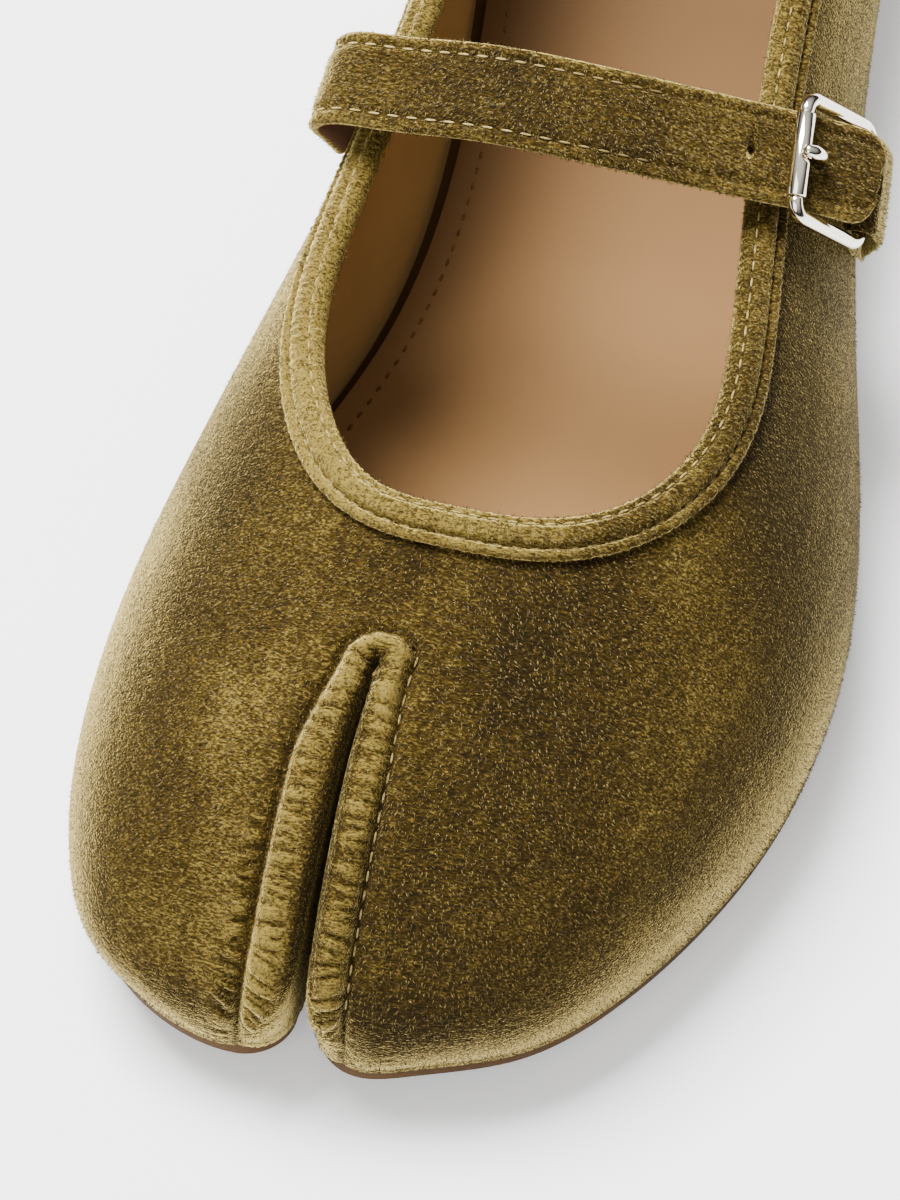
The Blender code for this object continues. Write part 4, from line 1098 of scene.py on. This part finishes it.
def build_strap(pile, lining):
    """The strap with soft edges, sunk a little along its two stitch rows, its prong hole and its spare hole."""
    line, ahead, beside, out = strap_line()
    half = strap_half_widths(line)
    thick = STRAP_THICKNESS / 2
    turn = np.linspace(0, 2 * np.pi, STRAP_RING_POINTS + 1)[:-1]
    wide = np.sign(np.cos(turn)) * np.abs(np.cos(turn)) ** 0.32
    high = np.sign(np.sin(turn)) * np.abs(np.sin(turn)) ** 0.75
    run = run_along(line) / MM
    hole, _, hole_beside, hole_out = strap_at(SPARE_HOLE_ACROSS)
    rings = []
    for k in range(len(line)):
        w = wide * half[k]
        from_edge = half[k] - np.abs(w)
        sunk = bell(from_edge - STRAP_STITCH_INSET, STRAP_GROOVE)
        wave = np.sin(7.4 * run[k] + 2 * np.sin(1.3 * run[k])) + np.sin(3 * run[k])
        pucker = STRAP_PUCKER * wave * bell(from_edge - 0.9 * MM, 0.7 * MM)
        dent = bell(np.hypot(w, (line[k] - hole) @ ahead[k]), SPARE_HOLE_DENT_REACH)
        h = high * thick + np.where(high > 0, pucker - STRAP_GROOVE * sunk - SPARE_HOLE_DENT * dent, 0)
        rings.append(line[k] + w[:, None] * beside[k] + h[:, None] * out[k])
    strap = grid_object("velvet_strap", np.array(rings), pile, wrap_rows=True, capped=True)
    path, radii, axis = prong_path(PRONG_CLEARANCE)
    through = hole + np.array([-0.3, 1])[:, None] * STRAP_THICKNESS * hole_out
    passage = tube_rings(path[-42:-8], radii[-42:-8], axis, False)
    bore = tube_rings(through, [SPARE_HOLE_RADIUS] * 2, hole_beside, False)
    for name, tube in (("prong passage", passage), ("spare hole", bore)):
        cut(strap, grid_object(name, tube, pile, wrap_rows=True, capped=True))
    strap.data.materials.append(lining)
    nearest = kdtree.KDTree(len(line))
    for k, point in enumerate(line):
        nearest.insert(point, k)
    nearest.balance()
    for face in strap.data.polygons:
        face.material_index = int(np.dot(face.normal, out[nearest.find(face.center)[1]]) < -0.6)

    def painted_edge_sheen_lighter_end(point):
        """Painted sheen along both edges, and a little lighter towards the inner end."""
        k = nearest.find(point)[1]
        from_edge = half[k] - abs(np.dot(np.array(point) - line[k], beside[k]))
        return 0.2 * bell(from_edge, 0.9 * MM) + 0.08 * smooth_step(-(point.x / MM + 8) / 14)

    paint_light_and_shade(strap, painted_edge_sheen_lighter_end)
    return strap


def build_frame(metal):
    """The buckle's wire frame, thinner where the roller turns on it."""
    near, far, reach, beside, out = buckle_axes()
    long, wide = FRAME_REACH / 2, FRAME_INSIDE / 2 + WIRE_RADIUS
    flat = []
    for along, across, start in ((-1, 1, 180), (1, 1, 90), (1, -1, 0), (-1, -1, -90)):
        turn = np.radians(start - np.linspace(0, 90, 11))
        corner = np.array([along * (long - FRAME_CORNER), across * (wide - FRAME_CORNER)])
        flat.append(corner + FRAME_CORNER * np.stack([np.cos(turn), np.sin(turn)], axis=1))
    bar = wide - FRAME_CORNER - 0.4 * MM
    flat.append(np.array([(-long, -bar), (-long, bar)]))
    flat = np.concatenate(flat)
    radii = np.full(len(flat), WIRE_RADIUS)
    radii[-2:] = ROLLER_BAR_RADIUS
    path = (near + far) / 2 + flat[:, :1] * reach + flat[:, 1:] * beside
    rings = tube_rings(path, radii, out, True)
    return grid_object("nickel_frame", rings, metal, wrap_columns=True, wrap_rows=True)


def build_roller(metal):
    near, _, reach, beside, out = buckle_axes()
    half = FRAME_INSIDE / 2 + WIRE_RADIUS - FRAME_CORNER - ROLLER_END_PLAY
    ease = ROLLER_EASE
    turn = np.arange(ROLLER_FACETS) * 2 * np.pi / ROLLER_FACETS
    end = ((ROLLER_BORE, half), (ROLLER_RADIUS - ease, half), (ROLLER_RADIUS, half - ease))
    section = [(radius, -across) for radius, across in end] + list(end[::-1])
    spokes = np.cos(turn)[:, None] * reach + np.sin(turn)[:, None] * out
    rings = [[near + radius * spoke + across * beside for radius, across in section] for spoke in spokes]
    return grid_object("nickel_roller", np.array(rings), metal, wrap_columns=True, wrap_rows=True)


def build_prong(metal):
    path, radii, axis = prong_path()
    return grid_object("nickel_prong", tube_rings(path, radii, axis, False), metal, wrap_rows=True, capped=True)


def tab_sheet(across_count=21):
    """The middle of the tab's thickness: up the outer wall, round the far bar and down outside it."""
    _, far, reach, beside, out = buckle_axes()
    level = np.array([1.0, 0.0, 0.0])
    rise = np.cross(beside, level)
    share = np.linspace(-0.5, 0.5, across_count)
    sheet = []
    for height in TAB_WALL_HEIGHTS:
        row = []
        middle = FRAME_STATION - (far + (height - far[2]) / rise[2] * rise)[1]
        wide = np.interp(height, TAB_WALL_HEIGHTS, np.linspace(TAB_BASE_WIDTH, TAB_WIDTH, len(TAB_WALL_HEIGHTS)))
        for w in share * wide:
            at = np.array([middle - w * beside[1], height + w * beside[2]])
            point = to_frame(outer_wall_point(*at))
            up = to_frame(outer_wall_point(at[0], at[1] + MM)) - point
            on = to_frame(outer_wall_point(at[0] + MM, at[1])) - point
            row.append(point + (SEAT_GAP + TAB_THICKNESS / 2) * unit(np.cross(on, up) * -1))
        sheet.append(row)
    fold = WIRE_RADIUS + SEAT_GAP + TAB_THICKNESS / 2
    turn = np.radians(np.linspace(180, 0, 9))
    free = [(p.out * MM, p.up * MM) for p in TAB_INSIDE]
    free += [(fold * c, fold * s) for c, s in zip(np.cos(turn), np.sin(turn))]
    free += [(p.out * MM, p.up * MM) for p in TAB_OUTSIDE]
    for away, up in free:
        sheet.append([far + w * beside + away * level + up * rise for w in share * TAB_WIDTH])
    return np.array(sheet), far, beside, reach, out, fold


def build_tab(pile):
    """A strip folded round the far bar, with soft edges, and notched there for the prong's loop."""
    sheet, far, beside, reach, out, fold = tab_sheet()
    run = run_along(sheet[:, sheet.shape[1] // 2])
    even = np.linspace(0, run[-1], TAB_ROWS)
    fine = natural_spline(run, sheet.reshape(len(sheet), -1), even).reshape(TAB_ROWS, -1, 3)
    along, across = np.gradient(fine, axis=(0, 1))
    share = np.linspace(-1, 1, fine.shape[1])[:, None]
    from_end = np.minimum(np.arange(TAB_ROWS), np.arange(TAB_ROWS)[::-1])
    ends = np.clip(from_end / 3, 0.15, 1)[:, None, None]
    face = unit(np.cross(across, along)) * TAB_THICKNESS / 2 * np.sqrt(1 - 0.97 * share**12) * ends**0.5
    rings = np.concatenate([fine + face, (fine - face)[:, ::-1]], axis=1)
    tab = grid_object("velvet_tab", rings, pile, wrap_rows=True, capped=True)
    size = fold + TAB_THICKNESS
    corners = ((-size, -size), (0.1 * size, -size), (0.1 * size, size), (-size, size))
    ends = [far + w * beside for w in (-TAB_NOTCH / 2, TAB_NOTCH / 2)]
    notch = np.array([[end + a * reach + b * out for a, b in corners] for end in ends])
    cut(tab, grid_object("prong notch", notch, pile, wrap_rows=True, capped=True))
    return tab


def node_tree(name, inputs):
    """A geometry node tree with named inputs of the given socket types, and the sockets that bring them in."""
    tree = bpy.data.node_groups.new(name, "GeometryNodeTree")
    for socket, kind in {"Geometry": "Geometry", **inputs}.items():
        tree.interface.new_socket(socket, in_out="INPUT", socket_type="NodeSocket" + kind)
    tree.interface.new_socket("Geometry", in_out="OUTPUT", socket_type="NodeSocketGeometry")
    return tree, add(tree, "NodeGroupInput").outputs


def stitch_tree():
    """Geometry nodes: a row of thread stitches along a line of edges."""
    sizes = dict.fromkeys(("Pitch", "Stitch length", "Thread thickness"), "Float")
    tree, given = node_tree("stitch row", {**sizes, "Thread": "Material"})
    line = add(tree, "GeometryNodeMeshToCurve", links={"Mesh": given["Geometry"]})
    even = add(tree, "GeometryNodeResampleCurve", {"mode": "LENGTH"}, {"Curve": line, "Length": given["Pitch"]})
    tangent = add(tree, "GeometryNodeInputTangent")
    turned = add(tree, "FunctionNodeAlignRotationToVector", {"axis": "X"}, {"Vector": tangent})
    bead = add(tree, "GeometryNodeMeshUVSphere", {"Segments": 8, "Rings": 6, "Radius": 0.5})
    thick = given["Thread thickness"]
    size = add(tree, "ShaderNodeCombineXYZ", links={"X": given["Stitch length"], "Y": thick, "Z": thick})
    spread = {"Points": even, "Instance": bead, "Rotation": turned, "Scale": size}
    placed = add(tree, "GeometryNodeInstanceOnPoints", links=spread)
    real = add(tree, "GeometryNodeRealizeInstances", links={"Geometry": placed})
    smooth = add(tree, "GeometryNodeSetShadeSmooth", links={"Geometry": real})
    dyed = add(tree, "GeometryNodeSetMaterial", links={"Geometry": smooth, "Material": given["Thread"]})
    add(tree, "NodeGroupOutput", links={"Geometry": dyed})
    return tree


def nap_tree():
    """Geometry nodes: single fibres of pile over a skin, leaning along a slowly turning direction."""
    sizes = dict.fromkeys(("Density", "Fibre length", "Fibre width"), "Float")
    tree, given = node_tree("nap", {**sizes, "Seed": "Int", "Pile": "Material"})
    seed = {"Seed": given["Seed"]}
    place = add(tree, "GeometryNodeInputPosition")
    # Sparser on the back half, behind the strap
    along = add(tree, "ShaderNodeSeparateXYZ", links={0: place}).outputs["Y"]
    back = {"From Min": 0.0, "From Max": 0.03, "To Min": 1.0, "To Max": 0.12}
    share = add(tree, "ShaderNodeMapRange", back, {"Value": along})
    density = add(tree, "ShaderNodeMath", {"operation": "MULTIPLY"}, {0: given["Density"], 1: share})
    skin = {"Mesh": given["Geometry"], "Density": density, **seed}
    roots = add(tree, "GeometryNodeDistributePointsOnFaces", {"distribute_method": "RANDOM"}, skin)
    normal = roots.outputs["Normal"]
    # Fibres lean outwards and to the toe, turned by a slow swirl and each by a little of its own
    swirl = add(tree, "ShaderNodeTexNoise", {"Scale": 70.0, "Detail": 2.0}, {"Vector": place}).outputs["Color"]
    sideways = {"operation": "MULTIPLY_ADD", 1: (28.0, 4.0, 0.0), 2: (-0.9, -1.3, -1.1)}
    outward = add(tree, "ShaderNodeVectorMath", sideways, {0: place})
    by_swirl = {"operation": "MULTIPLY_ADD", 1: (2.0, 2.0, 1.5)}
    turned = add(tree, "ShaderNodeVectorMath", by_swirl, {0: swirl, 2: outward})
    own = {"data_type": "FLOAT_VECTOR", 0: (-0.5, -0.5, -0.5), 1: (0.5, 0.5, 0.5)}
    stray = add(tree, "FunctionNodeRandomValue", own, seed)
    lean = add(tree, "ShaderNodeVectorMath", {"operation": "ADD"}, {0: turned, 1: stray})
    # Laid nearly flat: a steady 0.3 out of the skin
    standing = add(tree, "ShaderNodeVectorMath", {"operation": "DOT_PRODUCT"}, {0: lean, 1: normal}).outputs["Value"]
    pressed = add(tree, "ShaderNodeMath", {"operation": "SUBTRACT", 0: 0.3}, {1: standing})
    flatten = add(tree, "ShaderNodeVectorMath", {"operation": "SCALE"}, {0: normal, "Scale": pressed})
    stand = add(tree, "ShaderNodeVectorMath", {"operation": "ADD"}, {0: lean, 1: flatten})
    axes = {"primary_axis": "X", "secondary_axis": "Z"}
    facing = add(tree, "FunctionNodeAxesToRotation", axes, {0: stand, 1: normal})
    flat = add(tree, "GeometryNodeMeshCircle", {"fill_type": "TRIANGLE_FAN", "Vertices": 3, "Radius": 0.6667})
    blade = add(tree, "GeometryNodeTransform", {"Translation": (0.3333, 0.0, 0.0)}, {"Geometry": flat})
    longer = add(tree, "FunctionNodeRandomValue", {"data_type": "FLOAT", 2: 0.6, 3: 1.2}, seed).outputs[1]
    length = add(tree, "ShaderNodeMath", {"operation": "MULTIPLY"}, {0: given["Fibre length"], 1: longer})
    size = add(tree, "ShaderNodeCombineXYZ", {"Z": 1.0}, {"X": length, "Y": given["Fibre width"]})
    spread = {"Points": roots, "Instance": blade, "Rotation": facing, "Scale": size}
    placed = add(tree, "GeometryNodeInstanceOnPoints", links=spread)
    real = add(tree, "GeometryNodeRealizeInstances", links={"Geometry": placed})
    dyed = add(tree, "GeometryNodeSetMaterial", links={"Geometry": real, "Material": given["Pile"]})
    add(tree, "NodeGroupOutput", links={"Geometry": dyed})
    return tree


STITCHES = stitch_tree()
NAP = nap_tree()
# Fibres to a square metre, and the size of one
UPPER_NAP = 3.2e6
TRIM_NAP = 6.0e6
FIBRE_LENGTH = 0.52 * MM
FIBRE_WIDTH = 0.11 * MM


def grown(part, tree, values):
    """Run a node tree over a piece with the values of its named inputs, and keep the mesh that it makes."""
    step = part.modifiers.new(tree.name, "NODES")
    step.node_group = tree
    for item in tree.interface.items_tree:
        if item.name in values:
            step[item.identifier] = values[item.name]
    return settle(part)


def nap(name, source, density, finish, seed):
    """Fibres of pile over the velvet faces of a piece, those of its first material."""
    made = bmesh.new()
    made.from_mesh(source.data)
    bmesh.ops.delete(made, geom=[face for face in made.faces if face.material_index], context="FACES")
    sizes = {"Fibre length": FIBRE_LENGTH, "Fibre width": FIBRE_WIDTH}
    values = {"Density": density, **sizes, "Seed": seed, "Pile": finish}
    return grown(mesh_object(name, made, finish), NAP, values)


# A row's distance from stitch to stitch, and a stitch's length and thickness, in millimetres
Stitch = namedtuple("Stitch", "pitch length thickness")


def stitch_rows(name, lines, stitch, finish):
    """A piece made of stitch rows along one or more lines of points."""
    made = bmesh.new()
    for line, closed in lines:
        verts = [made.verts.new(point) for point in line]
        for a, b in zip(verts, verts[1:] + verts[:1] if closed else verts[1:]):
            made.edges.new((a, b))
    sizes = zip(("Pitch", "Stitch length", "Thread thickness"), np.array(stitch) * MM)
    values = {**{size: float(value) for size, value in sizes}, "Thread": finish}
    return grown(mesh_object(name, made, finish), STITCHES, values)


def binding_stitch_lines():
    loop, down, out = collar_edge()
    return [(loop + row.down * MM * down + row.out * MM * out, True) for row in BINDING_STITCHES]


def strap_stitch_lines():
    line, _, beside, out = strap_line()
    half = strap_half_widths(line) - STRAP_STITCH_INSET
    keep = (line[:, 0] < 9 * MM) & (np.arange(len(line)) > 3)
    lift = STRAP_THICKNESS / 2 - 0.3 * MM
    return [((line + side * half[:, None] * beside + lift * out)[keep], False) for side in (-1, 1)]


def insole_stitch_lines(inset):
    lines = []
    for side in (MEDIAL, LATERAL):
        outline = feather_outline(side, inset)
        outline = outline[outline[:, 1] < 0.93 * SHOE_LENGTH]
        height = insole_top(outline[:, 1]) + 0.02 * MM
        lines.append((to_frame(np.column_stack([outline, height])), False))
    return lines


def split_stitch_line(upper):
    """Along the groove beside the small toes' roll, laid on the velvet: the big toe's row is lost in its gathers."""
    station = np.linspace(SPLIT_ROOT_STATION, tip_point(LATERAL)[1] - 3 * MM, 60)
    along = station - SPLIT_ROOT_STATION
    across = centre_across(station) + split_half_gap(station) + roll_width(LATERAL, along / MM) * MM
    laid = []
    for point in to_frame(np.stack([across, station, np.full(60, 0.1)], axis=1)):
        _, place, facing, _ = upper.ray_cast(Vector(point), Vector((0, 0, -1)))
        laid.append(np.array(place) + 0.06 * MM * np.array(facing))
    return np.array(laid), False


# Finishes
pile = velvet("olive cotton velvet")
# The binding's velvet is painted lighter than the upper's: painted sheen on its rolls
binding_pile_painted_lighter = velvet("olive velvet binding", 0.21)
fibre = fibres()
lining = leather("lining calf leather", ((0.3, "#9a7b49"), (0.7, "#a78653")), 0.65)
# Painted shade: the strap's lining is given a darker colour for the shade under the strap
strap_lining_painted_darker = leather("strap lining leather", ((0.3, "#5e4232"), (0.7, "#6d4e3c")), 0.55)
# The insole is painted darker towards the heel: painted shade
insole_calf = leather("insole calf leather", ((0.25, "#86633a"), (0.75, "#8f6b40")), 0.7, painted_shade_to_heel="#573d1f")
sole_leather = leather("vegetable-tanned sole leather", ((0.3, "#3d2605"), (0.7, "#4c3208")), 0.65, 0.12)
heel_leather = stacked_leather()
cream_thread = thread("cream sewing thread", ((0.3, "#85733f"), (0.7, "#b3a16c")), "#4c3d18")
olive_thread = thread("olive sewing thread", ((0.3, "#6e5e30"), (0.7, "#a0905c")))
tan_thread = thread("tan sewing thread", ((0.3, "#4a3012"), (0.7, "#6b4a22")))
metal = nickel()

# Pieces
upper = worn_as(build_upper(pile, lining), "upper", "upper")
outsole = build_plate(
    "leather_outsole", sole_leather, -SOLE_REACH, SOLE_SPLIT_INSET, sole_top, sole_bottom, SOLE_EASE
)
worn_as(outsole, "outsole", "outsole")
insole = build_plate(
    "leather_insole", insole_calf, INSOLE_INSET, INSOLE_INSET, insole_top, feather_height, INSOLE_EASE
)
worn_as(insole, "insole", "insole")
worn_as(build_heel(heel_leather), "heel", "heel")
binding = worn_as(build_binding(binding_pile_painted_lighter), "topline_binding", "topline_binding")
strap = worn_as(build_strap(pile, strap_lining_painted_darker), "strap", "strap")
tab = worn_as(build_tab(pile), "buckle_tab", "buckle_tab")
for name, skin, slot, density, seed in (
    ("upper_nap", upper, "upper", UPPER_NAP, 3),
    ("binding_nap", binding, "topline_binding", TRIM_NAP, 5),
    ("strap_nap", strap, "strap", TRIM_NAP, 7),
    ("tab_nap", tab, "buckle_tab", TRIM_NAP, 11),
):
    worn_as(nap(name, skin, density, fibre, seed), slot)
worn_as(build_frame(metal), "buckle_frame", "buckle_frame")
worn_as(build_roller(metal), "buckle_roller", "buckle_roller")
worn_as(build_prong(metal), "buckle_prong", "buckle_prong")
for name, slot, lines, stitch, finish in (
    ("binding_stitches", "topline_binding", binding_stitch_lines(), Stitch(2.2, 1.4, 0.28), olive_thread),
    ("strap_stitches", "strap", strap_stitch_lines(), Stitch(2.3, 1.5, 0.28), cream_thread),
    ("insole_stitches", "insole", insole_stitch_lines(INSOLE_STITCH_INSET), Stitch(2.2, 1.2, 0.45), tan_thread),
    ("split_stitches", "upper", [split_stitch_line(upper)], Stitch(2.3, 1.4, 0.28), olive_thread),
):
    worn_as(stitch_rows(name, lines, stitch, finish), slot)

# Floor, light and camera
floor_mesh = bmesh.new()
bmesh.ops.create_grid(floor_mesh, x_segments=1, y_segments=1, size=3.0)
studio_white = {
    "Roughness": 0.9,
    "Base Color": linear("#f4f4f4"),
    "Specular IOR Level": 0.1,
    "Emission Color": linear("#ffffff"),
    "Emission Strength": 0.3,
}
paper = surface("pale studio paper", studio_white)[0]
mesh_object("studio_floor", floor_mesh, paper)

# A bright studio: light from above, darker towards the horizon, so that the metal has something to mirror
world = bpy.data.worlds.new("studio")
bpy.context.scene.world = world
world.use_nodes = True
sky = world.node_tree
height = add(sky, "ShaderNodeSeparateXYZ", links={0: add(sky, "ShaderNodeTexCoord").outputs["Generated"]})
walls = ramp(sky, height.outputs["Z"], ((0.0, "#404040"), (0.22, "#161616"), (0.48, "#9c9c9c"), (0.85, "#ffffff")))
sky.links.new(walls, sky.nodes["Background"].inputs["Color"])
sky.nodes["Background"].inputs["Strength"].default_value = 0.95

Lamp = namedtuple("Lamp", "name place size power")
LAMPS = (
    Lamp("key softbox", (-0.52, 0.42, 1.38), 0.8, 110.0),
    Lamp("front fill", (-0.3, -1.1, 0.9), 1.0, 11.0),
)
SHOE_MIDDLE = Vector((0.0, -0.05, 0.03))
for lamp in LAMPS:
    light = bpy.data.lights.new(lamp.name, "AREA")
    light.energy = lamp.power
    light.size = lamp.size
    box = bpy.data.objects.new(lamp.name, light)
    box.location = lamp.place
    box.rotation_mode = "QUATERNION"
    box.rotation_quaternion = (SHOE_MIDDLE - Vector(lamp.place)).to_track_quat("-Z", "Y")
    bpy.context.scene.collection.objects.link(box)

CAMERA_AZIMUTH = np.radians(13)
CAMERA_ELEVATION = np.radians(62)
CAMERA_DISTANCE = 600 * MM
CAMERA_TARGET = Vector((-3.89 * MM, -64.08 * MM, 20 * MM))
CAMERA_LENS = 150.3
back = Vector(
    (
        np.sin(CAMERA_AZIMUTH) * np.cos(CAMERA_ELEVATION),
        -np.cos(CAMERA_AZIMUTH) * np.cos(CAMERA_ELEVATION),
        np.sin(CAMERA_ELEVATION),
    )
)
camera = bpy.data.objects.new("camera", bpy.data.cameras.new("camera"))
camera.data.lens = CAMERA_LENS
camera.data.sensor_width = 36.0
camera.data.clip_start = 0.01
camera.location = CAMERA_TARGET + CAMERA_DISTANCE * back
camera.rotation_mode = "QUATERNION"
camera.rotation_quaternion = (-back).to_track_quat("-Z", "Y")
bpy.context.scene.collection.objects.link(camera)
bpy.context.scene.camera = camera
